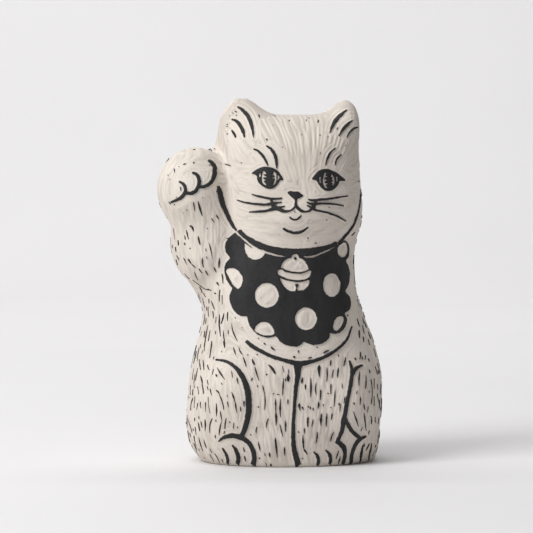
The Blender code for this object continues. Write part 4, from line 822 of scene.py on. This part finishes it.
def even_headings(rows):
    """Headings for every row that space its points evenly along the surface."""
    picked = np.unique(np.linspace(0, len(rows) - 1, HEADING_ROWS).astype(int))
    turn = np.arange(HEADING_SAMPLES + 1) / HEADING_SAMPLES * 2 * math.pi + math.pi / 2
    spaced = []
    for index in picked:
        row = np.repeat(rows[index:index + 1], len(turn), 0)
        row[:, 1] = np.minimum(row[:, 1], math.radians(HEADING_RISE))
        origins, directions = ray_of(row, turn)
        ring = on_form(origins, directions, rows[index, 2])
        along = np.concatenate([[0.0], np.cumsum(np.linalg.norm(np.diff(ring, axis=0), axis=1))])
        spaced.append(np.interp(np.arange(AROUND) / AROUND * along[-1], along, turn))
    spaced = np.array(spaced)
    return np.stack([np.interp(np.arange(len(rows)), picked, spaced[:, k]) for k in range(AROUND)], 1)


def body_surface():
    """(points, faces, number of outer points) of the uncarved body, closed by a point at either end."""
    rows = body_rows()
    headings = even_headings(rows).reshape(-1)
    origins, directions = ray_of(np.repeat(rows, AROUND, 0), headings)
    levels = np.repeat(rows[:, 2], AROUND)
    ring_points = on_form(origins, directions, levels)
    core = np.array([[CORE_XY[0], CORE_XY[1], CORE_TOP]])
    straight_up = np.array([[0.0, 0.0, 1.0]])
    ends = np.vstack([on_form(core, straight_up, 0.0), on_form(core, straight_up, -WALL)])
    count = len(rows)
    here = np.arange(count * AROUND).reshape(count, AROUND)
    after = np.roll(here, -1, axis=1)
    quads = np.stack([here[:-1], here[1:], after[1:], after[:-1]], -1).reshape(-1, 4).tolist()
    top, bottom = count * AROUND, count * AROUND + 1
    faces = [[top, a, b] for a, b in zip(here[0].tolist(), after[0].tolist())]
    faces += [[bottom, b, a] for a, b in zip(here[-1].tolist(), after[-1].tolist())]
    outer = (CROWN_ROWS - 1 + SIDE_ROWS) * AROUND
    return np.vstack([ring_points, ends]), quads + faces, outer


def gouge_cuts(points, chance):
    """Sampled points of the loop tool's cuts: places on the surface, half widths and depths."""
    starts = settled(points[chance.choice(len(points), GOUGES, replace=False)])
    length = chance.uniform(*GOUGE_LENGTH, GOUGES)
    reach = chance.uniform(*GOUGE_REACH, GOUGES)
    deep = chance.uniform(*GOUGE_DEPTH, GOUGES)
    wander = np.radians(chance.normal(0.0, GOUGE_WANDER, GOUGES))
    places, reaches, depths = [], [], []
    here = starts
    for step in range(int(GOUGE_LENGTH[1] / GOUGE_STEP)):
        along = (step + 0.5) * GOUGE_STEP / length
        alive = along < 1.0
        taper = np.sqrt(np.sin(math.pi * np.clip(along, 0.0, 1.0)))
        alive &= off_the_fan(here)
        places.append(here[alive])
        reaches.append((reach * (GOUGE_END_WIDTH + (1.0 - GOUGE_END_WIDTH) * taper))[alive])
        depths.append((deep * taper)[alive])
        lay, normal = lay_of(here)
        sideways = np.cross(normal, lay)
        turned = lay * np.cos(wander)[:, None] + sideways * np.sin(wander)[:, None]
        here = settled(here + turned * GOUGE_STEP)
    return np.vstack(places), np.concatenate(reaches), np.concatenate(depths)


def border_cuts(marks):
    """The cuts that run along the edges of the slip islands and set them off from the ground."""
    places, depths = [], []
    for mark in marks.values():
        for loop in mark["loops"]:
            line = spaced_loop(loop, BORDER_STEP)
            for offset, depth in BORDERS if signed_area(loop) > 0 else BORDERS[:1]:
                places.append(cast(line + loop_normals(line) * offset, mark["facing"]))
                depths.append(np.full(len(line), depth))
    places = np.vstack(places)
    return places, np.full(len(places), BORDER_REACH), np.concatenate(depths)


def fan_cuts(chance):
    """The long cuts that fan out over the forehead, each in two or three strokes of the tool."""
    places, depths = [], []
    for angle in np.linspace(-FAN_ANGLE, FAN_ANGLE, FAN_CUTS):
        here = FAN_REACH[0] + chance.uniform(*FAN_START)
        while here < FAN_REACH[1]:
            end = min(here + chance.uniform(*FAN_LENGTH), FAN_REACH[1])
            lean = angle + chance.normal(0.0, FAN_LEAN)
            away = np.arange(here, end, GOUGE_STEP)
            bend = FAN_BOW * np.sin(math.pi * (away - here) / max(end - here, 1.0)) * chance.normal()
            bow = lean + bend
            flat = np.stack([FAN_FROM[0] + away * np.sin(bow), FAN_FROM[1] + away * np.cos(bow)], 1)
            taper = np.sqrt(np.sin(math.pi * (away - here + FAN_TIP) / (end - here + 2 * FAN_TIP)))
            places.append(cast(flat, 0.0))
            depths.append(chance.uniform(*FAN_DEPTH) * taper)
            here = end + chance.uniform(*FAN_GAP)
    places = np.vstack(places)
    return places, np.full(len(places), BORDER_REACH), np.concatenate(depths)


def off_the_fan(points):
    """True away from the forehead, which has its own long cuts."""
    x, y, z = points.T
    away = np.hypot(x - FAN_FROM[0], z - FAN_FROM[1])
    angle = np.abs(np.arctan2(x - FAN_FROM[0], z - FAN_FROM[1]))
    return (y > FAN_BACK) | (away < FAN_REACH[0]) | (angle > FAN_ANGLE)


def carved_depth(points, cuts):
    """How deep the cuts go at each point."""
    tree = tree_of(points)
    depth = [0.0] * len(points)
    for place, reach, deep in zip(cuts[0].tolist(), cuts[1].tolist(), cuts[2].tolist()):
        for _, index, distance in tree.find_range(place, reach):
            cut = deep * (1.0 - (distance / reach) ** 2)
            if cut > depth[index]:
                depth[index] = cut
    return np.array(depth)


def clay_body(marks, material):
    """The bare clay figure: the uncarved surface, pressed in wherever a cut passes."""
    chance = np.random.default_rng(GOUGE_SEED)
    points, faces, outer = body_surface()
    skin = points[:outer]
    candidates = skin[(skin[:, 2] > GOUGES_ABOVE) & off_the_fan(skin)]
    kinds = (gouge_cuts(candidates, chance), border_cuts(marks), fan_cuts(chance))
    depth = carved_depth(skin, [np.concatenate(each) for each in zip(*kinds)])
    depth *= smoothly(skin[:, 2], *CARVING_SETS_IN)
    points[:outer] = skin + normal_of(skin) * (unevenness(skin) - depth)[:, None]
    body = new_piece("clay_body", points, faces, material)
    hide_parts("front_shell", "rear_shell")
    # the depth of the cuts, which the clay's material turns into painted shade on the ridges between them
    carved = np.zeros(len(points))
    carved[:outer] = depth / max(GOUGE_DEPTH)
    point_values(body, "carved", carved)


# ------------------------------------------------------------------ the slip marks

def smooth_line(points, steps, closed):
    """A smooth curve through the drawn points, with `steps` pieces between each two."""
    drawn = np.array(points, float)
    if closed:
        padded = np.vstack([drawn[-1:], drawn, drawn[:2]])
    else:
        padded = np.vstack([2 * drawn[:1] - drawn[1:2], drawn, 2 * drawn[-1:] - drawn[-2:-1]])
    curve = []
    for before, start, end, after in zip(padded, padded[1:], padded[2:], padded[3:]):
        for t in np.arange(steps) / steps:
            curve.append(0.5 * (2 * start + (end - before) * t
                                + (2 * before - 5 * start + 4 * end - after) * t**2
                                + (3 * start - before - 3 * end + after) * t**3))
    if not closed:
        curve.append(drawn[-1])
    return np.array(curve)


def stroke_outline(stroke):
    """The closed outline of a brush stroke given by its centre line and widths."""
    line = smooth_line(stroke, STROKE_STEPS, closed=False)
    along = np.gradient(line[:, :2], axis=0)
    along /= np.linalg.norm(along, axis=1)[:, None]
    side = np.stack([-along[:, 1], along[:, 0]], 1) * line[:, 2:3] / 2
    return np.vstack([line[:, :2] + side, (line[:, :2] - side)[::-1]])


def round_outline(across, height, half_width, half_height):
    """The closed outline of an ellipse."""
    turn = np.arange(ROUND_POINTS) / ROUND_POINTS * 2 * math.pi
    return np.stack([across + half_width * np.cos(turn), height + half_height * np.sin(turn)], 1)


def outlines_of(mark):
    """(outlines that hold slip, outlines scraped back to clay) of one mark."""
    filled = [stroke_outline(s) for s in mark.get("strokes", ())]
    filled += [smooth_line(a, OUTLINE_STEPS, closed=True) for a in mark.get("areas", ())]
    scraped = [smooth_line(h, OUTLINE_STEPS, closed=True) for h in mark.get("holes", ())]
    scraped += [round_outline(*r) for r in mark.get("rounds", ())]
    scraped += [stroke_outline(c) for c in mark.get("cuts", ())]
    return filled, scraped


def signed_area(loop):
    following = np.roll(loop, -1, axis=0)
    return 0.5 * float(np.sum(loop[:, 0] * following[:, 1] - loop[:, 1] * following[:, 0]))


def flat_region(filled, scraped, extra=()):
    """(corners, triangles) of all the filled outlines together, less the scraped ones, with extra corners."""
    corners, rings = [], []
    for outline in filled + scraped:
        if signed_area(outline) < 0:
            outline = outline[::-1]
        rings.append(list(range(len(corners), len(corners) + len(outline))))
        corners += [Vector(p) for p in outline.tolist()]
    corners += [Vector(p) for p in extra]
    found = delaunay_2d_cdt(corners, [], rings, 1, 1e-4, True)
    count = len(filled)
    kept = [list(face) for face, owners in zip(found[2], found[5]) if owners and max(owners) < count]
    flat = np.array([tuple(p) for p in found[0]])
    return flat, [face if signed_area(flat[face]) > 0 else face[::-1] for face in kept]


def border_loops(flat, faces):
    """The closed border lines of a flat region, with the slip on the left of each."""
    edges = {(a, b) for face in faces for a, b in zip(face, face[1:] + face[:1])}
    following = {}
    for a, b in sorted(edges):
        if (b, a) not in edges:
            following.setdefault(a, []).append(b)
    loops = []
    while following:
        start = next(iter(following))
        loop, here = [], start
        while here in following:
            loop.append(here)
            ends = following[here]
            after = ends.pop()
            if not ends:
                del following[here]
            here = after
        if len(loop) > 2:
            loops.append(flat[loop])
    return loops


def spaced_loop(loop, spacing):
    """The same closed line with evenly spaced points."""
    closed = np.vstack([loop, loop[:1]])
    along = np.concatenate([[0.0], np.cumsum(np.linalg.norm(np.diff(closed, axis=0), axis=1))])
    count = max(8, int(round(along[-1] / spacing)))
    at = np.arange(count) / count * along[-1]
    return np.stack([np.interp(at, along, closed[:, 0]), np.interp(at, along, closed[:, 1])], 1)


def loop_normals(loop):
    """Directions in the drawing's plane that point away from the slip."""
    along = np.roll(loop, -1, axis=0) - np.roll(loop, 1, axis=0)
    return unit(np.stack([along[:, 1], -along[:, 0]], 1))


def ragged_loop(loop, spread, amount, chance):
    """The line, a little wider, with the small nicks that a scraper leaves."""
    line = spaced_loop(loop, EDGE_SPACING)
    noise = chance.normal(0.0, 1.0, len(line))
    waves = np.fft.rfft(noise)
    frequency = np.fft.rfftfreq(len(line), EDGE_SPACING)
    waves *= np.exp(-(frequency / NICK_FREQUENCY) ** 2)
    smooth = np.fft.irfft(waves, len(line))
    return line + loop_normals(line) * (spread + amount * smooth / max(smooth.std(), 1e-6))[:, None]


def cast(flat, facing):
    """The points of a flat drawing laid on the form, along the heading that it is drawn for."""
    across, outward = axes_of(facing)
    base = flat[:, :1] * across
    base[:, 2] = flat[:, 1]
    directions = np.repeat(outward[None], len(flat), 0)
    far = np.full(len(flat), CAST_FROM)
    searching = np.ones(len(flat), bool)
    for _ in range(CAST_STEPS):
        searching &= form(*(base + outward * far[:, None]).T) > 0.0
        far = np.where(searching, far - 1.0, far)
    return crossing(base, directions, far, far + 1.0, 0.0)


def drawn_marks():
    """Every mark with its border lines."""
    marks = {}
    for name, mark in ISLANDS.items():
        flat, faces = flat_region(*outlines_of(mark))
        marks[name] = dict(facing=mark["facing"], loops=border_loops(flat, faces))
    return marks


def to_the_foot(flat):
    """A mark that ends just over the foot's edge is drawn out to the edge."""
    flat = flat.copy()
    flat[:, 1] = np.where(flat[:, 1] < DRAWN_TO, FOOT_LEVEL + FOOT_RUN * flat[:, 1], flat[:, 1])
    return flat


def slip_mark(name, mark, material, chance):
    """One island of slip: a skin with a soft shoulder, whose root goes into the clay."""
    fine = "eye" in name or "muzzle" in name or "dot" in name
    spread, ragged = (FINE_SPREAD, FINE_RAGGED) if fine else (SPREAD, RAGGED)
    inward = EYE_SPREAD if "eye" in name else 0.0
    loops = [ragged_loop(loop, spread if signed_area(loop) > 0 else inward, ragged, chance)
             for loop in mark["loops"]]
    filled = [loop for loop in loops if signed_area(loop) > 0]
    scraped = [loop for loop in loops if signed_area(loop) <= 0]
    edge = np.vstack(loops)
    edge_tree = tree_of(np.column_stack([edge, np.zeros(len(edge))]))

    def edge_distance(points):
        return np.array([edge_tree.find((a, b, 0.0))[2] for a, b in points.tolist()])

    ring = np.vstack([loop - loop_normals(loop) * EDGE_RING for loop in loops])
    ring = ring[edge_distance(ring) > 0.75 * EDGE_RING]
    low, high = edge.min(0), edge.max(0)
    grid = np.stack(np.meshgrid(np.arange(low[0], high[0], INSIDE_SPACING),
                                np.arange(low[1], high[1], INSIDE_SPACING)), -1).reshape(-1, 2)
    grid += chance.uniform(-INSIDE_JITTER, INSIDE_JITTER, grid.shape) * INSIDE_SPACING
    grid = grid[edge_distance(grid) > 0.5 * INSIDE_SPACING + EDGE_RING]
    flat, faces = flat_region(filled, scraped, np.vstack([ring, grid]).tolist())
    used = np.unique(np.concatenate([np.array(face) for face in faces]))
    renumber = np.full(len(flat), -1)
    renumber[used] = np.arange(len(used))
    flat = flat[used]
    faces = [[int(renumber[i]) for i in face] for face in faces]

    shoulder = 1.0 - np.clip(edge_distance(flat) / EDGE_RING, 0.0, 1.0)
    ground = cast(to_the_foot(flat), mark["facing"])
    normal = normal_of(ground)
    settle = settling(ground)
    brushed = BRUSHED * np.sin(ground[:, 0] * 1.9 + 2.0 * np.sin(ground[:, 2] * 0.7))
    rise = SLIP_RISE - SLIP_SHOULDER * shoulder**2 + brushed
    top = ground + normal * (settle + rise)[:, None]
    root = ground + normal * (settle + SLIP_ROOT)[:, None]
    count = len(flat)
    edges = {(a, b) for face in faces for a, b in zip(face, face[1:] + face[:1])}
    walls = [[b, a, a + count, b + count] for a, b in sorted(edges) if (b, a) not in edges]
    under = [[i + count for i in reversed(face)] for face in faces]
    piece = new_piece("slip_" + name, np.vstack([top, root]), faces + under + walls, material)
    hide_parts(name)
    worn = np.zeros(2 * count)
    worn[:count] = shoulder
    point_values(piece, "worn", worn)


# ------------------------------------------------------------------ the fur ticks

def tick_mesh(lines, widths):
    """Tapered slivers of slip along lines on the surface (ticks x points), one closed body for each."""
    count, steps = lines.shape[:2]
    flat = lines.reshape(-1, 3)
    normal = normal_of(flat).reshape(lines.shape)
    along = np.gradient(lines, axis=1)
    along /= np.maximum(np.linalg.norm(along, axis=2), 1e-9)[..., None]
    sideways = np.cross(along, normal)
    half = widths[..., None] / 2
    settle = settling(flat).reshape(count, steps, 1)
    broad, high = TICK_SHOULDER
    section = ((-1.0, SLIP_ROOT), (-broad, TICK_RISE * high), (0.0, TICK_RISE),
               (broad, TICK_RISE * high), (1.0, SLIP_ROOT))
    points = np.stack([lines + sideways * half * side + normal * (settle + rise)
                       for side, rise in section], 2)
    index = np.arange(points[..., 0].size).reshape(points.shape[:3])
    after = np.roll(index, -1, axis=2)
    quads = np.stack([index[:, :-1], after[:, :-1], after[:, 1:], index[:, 1:]], -1)
    faces = quads.reshape(-1, 4).tolist()
    faces += index[:, 0, ::-1].tolist()
    faces += index[:, -1].tolist()
    return points.reshape(-1, 3), faces


def tick_widths(width, chance):
    """Widths along each tick: drawn in at both ends, fullest near its upper end, a little uneven."""
    t = np.linspace(0.0, 1.0, TICK_SECTIONS)
    full = chance.uniform(*TICK_FULLEST, len(width))[:, None]
    shape = np.where(t < full, t / full, (1 - t) / (1 - full)) ** TICK_TAPER
    shape = TICK_TIP + (1.0 - TICK_TIP) * shape
    spread, least, most = TICK_UNEVEN
    uneven = 1.0 + chance.normal(0.0, spread, shape.shape)
    return width[:, None] * shape * np.clip(uneven, least, most)


def add_ticks(name, lines, width, material, chance):
    """One piece of ticks along the lines, each with its greatest width."""
    points, faces = tick_mesh(lines, tick_widths(width, chance))
    new_piece(name, points, faces, material)


def front_ticks(material, chance):
    """The drawn ticks of the front. Returns their lines, for the filling ones to keep clear of."""
    drawn = np.array(TICKS)
    t = np.linspace(0.0, 1.0, TICK_SECTIONS)[:, None]
    start, run = drawn[:, None, :2], drawn[:, None, 2:4]
    bow = chance.normal(0.0, TICK_BOW, len(drawn))[:, None, None] * np.sin(math.pi * t)
    crosswise = np.stack([-run[..., 1], run[..., 0]], -1)
    flat = start + run * t + crosswise * bow
    lines = cast(flat.reshape(-1, 2), FACING).reshape(len(drawn), TICK_SECTIONS, 3)
    add_ticks("fur_ticks_front", lines, drawn[:, 4] * TICK_BREADTH, material, chance)
    return lines


def scattered(count, heights, chance):
    """Random places on the surface, and the heights of the rays that found them."""
    heading = chance.uniform(0.0, 2 * math.pi, count)
    height = chance.uniform(*heights, count)
    rays = ray_of(np.stack([height, np.zeros_like(height)], 1), heading)
    return on_form(*rays, 0.0), height


def traced(starts, length, wander):
    """Lines that follow the lay down from each start."""
    line, here = [], starts
    for _ in range(TICK_SECTIONS):
        line.append(here)
        lay, normal = lay_of(here)
        down = -lay * np.cos(wander)[:, None] + np.cross(normal, lay) * np.sin(wander)[:, None]
        here = settled(here + down * (length / (TICK_SECTIONS - 1))[:, None])
    return np.stack(line, 1)


def away_from(points, others, apart):
    """True for each line whose every point is at least `apart` from all the others."""
    tree = tree_of(others)
    return np.array([all(tree.find(point)[2] > apart for point in line) for line in points.tolist()])


def crowded(line, others):
    """True where the line runs too near one of the others."""
    return any(np.linalg.norm(line[::2, None] - other[None, ::2], axis=2).min() <= CLEAR_OF_TICKS
               for other in others)


def filling_ticks(marks, drawn, material, chance):
    """Short ticks between the drawn ones, on the legs, the flanks and the raised arm."""
    starts, _ = scattered(FRONT_FILL * FILL_TRIES, FILL_HEIGHTS, chance)
    towards = normal_of(starts) @ axes_of(FACING)[1]
    x, z = starts[:, 0], starts[:, 2]
    furred = (z < LEG_TOP) | ((x < ARM_SIDE) & (z < ARM_TOP)) | ((x > FLANK_SIDE) & (z < FLANK_TOP))
    starts = starts[(towards > FILL_TOWARDS) & furred]
    length = chance.uniform(*FILL_LENGTH, len(starts))
    lines = traced(starts, length, np.radians(chance.normal(0.0, FILL_WANDER, len(starts))))
    borders = np.vstack([cast(spaced_loop(loop, MARK_SPACING), mark["facing"])
                         for mark in marks.values() for loop in mark["loops"]])
    lines = lines[away_from(lines, borders, CLEAR_OF_MARKS)]
    lines = lines[away_from(lines, drawn.reshape(-1, 3), CLEAR_OF_TICKS)]
    kept = []
    for line in lines:
        if not crowded(line, kept):
            kept.append(line)
    lines = np.array(kept[:FRONT_FILL])
    lines[..., 2] = np.maximum(lines[..., 2], TICK_LOWEST)
    add_ticks("fur_ticks_between", lines, chance.uniform(*FILL_WIDTH, len(lines)), material, chance)


def round_ticks(material, chance):
    """The ticks of the flanks and the back, which the drawn ones of the front run into."""
    starts, height = scattered(BACK_TICKS * BACK_TRIES, BACK_HEIGHTS, chance)
    normal = normal_of(starts)
    towards = normal @ axes_of(FACING)[1]
    wanted = (towards < BACK_TOWARDS) & (normal[:, 2] < STEEPEST)
    wanted &= chance.uniform(0, 1, len(height)) < np.where(height > HEAD_FOOT, HEAD_SHARE, 1.0)
    wanted &= chance.uniform(0, 1, len(height)) < np.where(towards > EDGE_TOWARDS, EDGE_SHARE, 1.0)
    for name in ("rear_collar_band", "tail_line"):
        wanted &= clear_of(ISLANDS[name], starts)
    starts = spread_out(starts[wanted], BACK_APART)
    length = chance.uniform(*BACK_LENGTH, len(starts))
    length = length * np.where(starts[:, 2] > HEAD_FOOT, HEAD_LENGTH, 1.0)
    length = np.where(chance.uniform(0, 1, len(starts)) < SPECK_SHARE, SPECK_LENGTH, length)
    wander = np.radians(chance.normal(0.0, BACK_WANDER, len(starts)))
    lines = traced(starts, length, wander)
    lines[..., 2] = np.maximum(lines[..., 2], TICK_LOWEST)
    add_ticks("fur_ticks_round", lines, chance.uniform(*BACK_WIDTH, len(starts)), material, chance)


def clear_of(mark, points):
    """True where a point behind the figure is well away from a mark drawn on its back."""
    across, outward = axes_of(mark["facing"])
    line = np.vstack([smooth_line(stroke, OUTLINE_STEPS, closed=False)[:, :2] for stroke in mark["strokes"]])
    flat = np.stack([points @ across, points[:, 2]], 1)
    near = np.sqrt(((flat[:, None] - line[None]) ** 2).sum(-1)).min(1)
    over = np.sqrt(((flat[:, None] - line[None] - (0.0, OVER_LINE)) ** 2).sum(-1)).min(1)
    return (points @ outward <= 0) | ((near > CLEAR_OF_LINE) & (over > CLEAR_OVER_LINE))


def spread_out(points, apart):
    """The points, less those too near an earlier one."""
    kept = []
    for point in points:
        if all(np.linalg.norm(point - other) > apart for other in kept):
            kept.append(point)
    return np.array(kept)[:BACK_TICKS]


# ------------------------------------------------------------------ materials

class Nodes:
    """A material's node tree, with short calls for what the finishes here need."""

    def __init__(self, name, roughness, specular):
        self.material = bpy.data.materials.new(LOOK + name)
        self.material.use_nodes = True
        self.tree = self.material.node_tree
        self.shader = self.tree.nodes["Principled BSDF"]
        self.shader.inputs["Roughness"].default_value = roughness
        self.shader.inputs["Specular IOR Level"].default_value = specular
        self.place = self.new("ShaderNodeTexCoord").outputs["Object"]

    def new(self, kind, **settings):
        node = self.tree.nodes.new(kind)
        for key, value in settings.items():
            setattr(node, key, value)
        return node

    def link(self, source, target):
        self.tree.links.new(source, target)

    def noise(self, scale, detail, stretch=(1, 1, 1)):
        mapping = self.new("ShaderNodeMapping")
        mapping.inputs["Scale"].default_value = stretch
        self.link(self.place, mapping.inputs["Vector"])
        texture = self.new("ShaderNodeTexNoise")
        texture.inputs["Scale"].default_value = scale
        texture.inputs["Detail"].default_value = detail
        self.link(mapping.outputs[0], texture.inputs["Vector"])
        return texture.outputs[0]

    def attribute(self, name):
        return self.new("ShaderNodeAttribute", attribute_name=name).outputs["Fac"]

    def ranged(self, source, low, high, to_low, to_high):
        node = self.new("ShaderNodeMapRange")
        ends = {"From Min": low, "From Max": high, "To Min": to_low, "To Max": to_high}
        for socket, value in ends.items():
            node.inputs[socket].default_value = value
        self.link(source, node.inputs["Value"])
        return node.outputs[0]

    def mixed(self, factor, first, second):
        """A colour between two, each given as a socket or a colour."""
        node = self.new("ShaderNodeMix", data_type="RGBA")
        self.link(factor, node.inputs[0])
        for socket, value in ((node.inputs[6], first), (node.inputs[7], second)):
            if isinstance(value, tuple):
                socket.default_value = (*value, 1.0)
            else:
                self.link(value, socket)
        return node.outputs[2]

    def bumped(self, heights):
        """Chains bumps of (height, distance in m, strength) into the shader's normal."""
        normal = None
        for height, distance, strength in heights:
            bump = self.new("ShaderNodeBump")
            bump.inputs["Distance"].default_value = distance
            bump.inputs["Strength"].default_value = strength
            self.link(height, bump.inputs["Height"])
            if normal is not None:
                self.link(normal, bump.inputs["Normal"])
            normal = bump.outputs[0]
        self.link(normal, self.shader.inputs["Normal"])

    def colour(self, source):
        self.link(source, self.shader.inputs["Base Color"])

    def roughness(self, source):
        self.link(source, self.shader.inputs["Roughness"])


def clay_material(name, pale, deep, speck):
    """Bare fired clay: matte, mottled and finely grained, with painted shade on the ridges left between the
    cuts.
    """
    nodes = Nodes(name, 0.86, 0.25)
    mottle = nodes.ranged(nodes.noise(55.0, 5.0), 0.35, 0.65, 0.0, 1.0)
    ground = nodes.mixed(mottle, pale, deep)
    grain = nodes.ranged(nodes.noise(2600.0, 3.0), 0.62, 0.78, 0.0, 0.5)
    ground = nodes.mixed(grain, ground, speck)
    # painted shade: strongest where the clay is uncarved, gone where a cut goes deep
    cut = nodes.ranged(nodes.attribute("carved"), 0.0, 0.7, 0.75, 0.0)
    ground = nodes.mixed(cut, ground, tuple(RIDGE_PAINTED_SHADE * c for c in deep))
    nodes.colour(ground)
    nodes.roughness(nodes.ranged(nodes.noise(900.0, 2.0), 0.3, 0.7, 0.78, 0.94))
    nodes.bumped([(nodes.noise(420.0, 4.0, (1.0, 1.0, 0.35)), 0.0002, 0.35),
                  (nodes.noise(3200.0, 3.0), 0.00006, 0.35)])
    return nodes.material


def slip_material():
    """Black slip: a thin satin coat, brushed, a little worn along its edges."""
    nodes = Nodes("black_slip", 0.6, 0.30)
    brushed = nodes.ranged(nodes.noise(260.0, 5.0, (1.0, 1.0, 0.3)), 0.3, 0.7, 0.0, 1.0)
    deep, soft, speck, worn = SLIP_COLOURS
    coat = nodes.mixed(brushed, deep, soft)
    grain = nodes.ranged(nodes.noise(2400.0, 3.0), 0.60, 0.80, 0.0, 0.55)
    coat = nodes.mixed(grain, coat, speck)
    edge = nodes.ranged(nodes.attribute("worn"), 0.5, 1.0, 0.0, 0.25)
    coat = nodes.mixed(edge, coat, worn)
    nodes.colour(coat)
    nodes.roughness(nodes.ranged(nodes.noise(700.0, 3.0), 0.3, 0.7, 0.60, 0.78))
    nodes.bumped([(nodes.noise(600.0, 4.0, (1.0, 1.0, 0.4)), 0.0001, 0.30),
                  (nodes.noise(3000.0, 2.0), 0.00004, 0.35)])
    return nodes.material


def stage_material():
    """Pale matte paper with a very slow change of tone."""
    nodes = Nodes("pale_paper", 0.7, 0.2)
    tone = nodes.ranged(nodes.noise(3.0, 2.0), 0.3, 0.7, 0.0, 1.0)
    nodes.colour(nodes.mixed(tone, *STAGE_COLOURS))
    return nodes.material


# ------------------------------------------------------------------ the studio

def sweep(material):
    """A floor that curves up into a backdrop, in one sheet."""
    run = [(SWEEP_FRONT, 0.0), (SWEEP_BEND, 0.0)]
    run += [(SWEEP_BEND + SWEEP_RADIUS * math.sin(t), SWEEP_RADIUS * (1 - math.cos(t)))
            for t in np.linspace(0.05, math.pi / 2, SWEEP_STEPS)]
    run += [(SWEEP_BEND + SWEEP_RADIUS, SWEEP_TOP)]
    points = [(x, y, z) for y, z in run for x in (-SWEEP_SIDE, SWEEP_SIDE)]
    faces = [[2 * i, 2 * i + 1, 2 * i + 3, 2 * i + 2] for i in range(len(run) - 1)]
    mesh = bpy.data.meshes.new("sweep")
    mesh.from_pydata(points, [], faces)
    mesh.polygons.foreach_set("use_smooth", np.ones(len(mesh.polygons), bool))
    mesh.materials.append(material)
    floor = bpy.data.objects.new("sweep", mesh)
    bpy.context.scene.collection.objects.link(floor)


def soft_box(name, place, aim, size, power):
    light = bpy.data.lights.new(name, "AREA")
    light.shape = "RECTANGLE"
    light.size, light.size_y = size
    light.energy = power
    lamp = bpy.data.objects.new(name, light)
    lamp.location = place
    lamp.rotation_mode = "QUATERNION"
    lamp.rotation_quaternion = (Vector(aim) - Vector(place)).to_track_quat("-Z", "Y")
    bpy.context.scene.collection.objects.link(lamp)


def studio():
    sweep(stage_material())
    for lamp in LAMPS:
        soft_box(*lamp)
    world = bpy.data.worlds.new("studio_air")
    world.use_nodes = True
    background = world.node_tree.nodes["Background"]
    background.inputs["Color"].default_value = (*AIR_COLOUR, 1.0)
    background.inputs["Strength"].default_value = AIR_STRENGTH
    bpy.context.scene.world = world
    bpy.context.scene.view_settings.view_transform = "Standard"


def camera():
    """The viewpoint of the picture: a little to the cat's right, a little above, with a long lens."""
    turn, tilt = math.radians(FACING), math.radians(CAMERA_TILT)
    back = Vector((math.sin(turn) * math.cos(tilt), -math.cos(turn) * math.cos(tilt), math.sin(tilt)))
    data = bpy.data.cameras.new("camera")
    data.lens = CAMERA_LENS
    data.sensor_width = 36.0
    data.clip_start, data.clip_end = 0.01, 20.0
    eye = bpy.data.objects.new("camera", data)
    target = Vector(to_row(CAMERA_TARGET).tolist())
    eye.location = target + back * CAMERA_DISTANCE
    eye.rotation_mode = "QUATERNION"
    eye.rotation_quaternion = back.to_track_quat("Z", "Y")
    bpy.context.scene.collection.objects.link(eye)
    bpy.context.scene.camera = eye


def main():
    camera()
    clay = clay_material("carved_clay", *CARVED_CLAY)
    base = clay_material("base_clay", *BASE_CLAY)
    slip = slip_material()
    chance = np.random.default_rng(SLIP_SEED)
    marks = drawn_marks()
    clay_body(marks, clay)
    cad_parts["base_slab"].material_slots[0].material = base
    for name, mark in marks.items():
        slip_mark(name, mark, slip, chance)
    drawn = front_ticks(slip, chance)
    filling_ticks(marks, drawn, slip, chance)
    round_ticks(slip, chance)
    studio()


main()
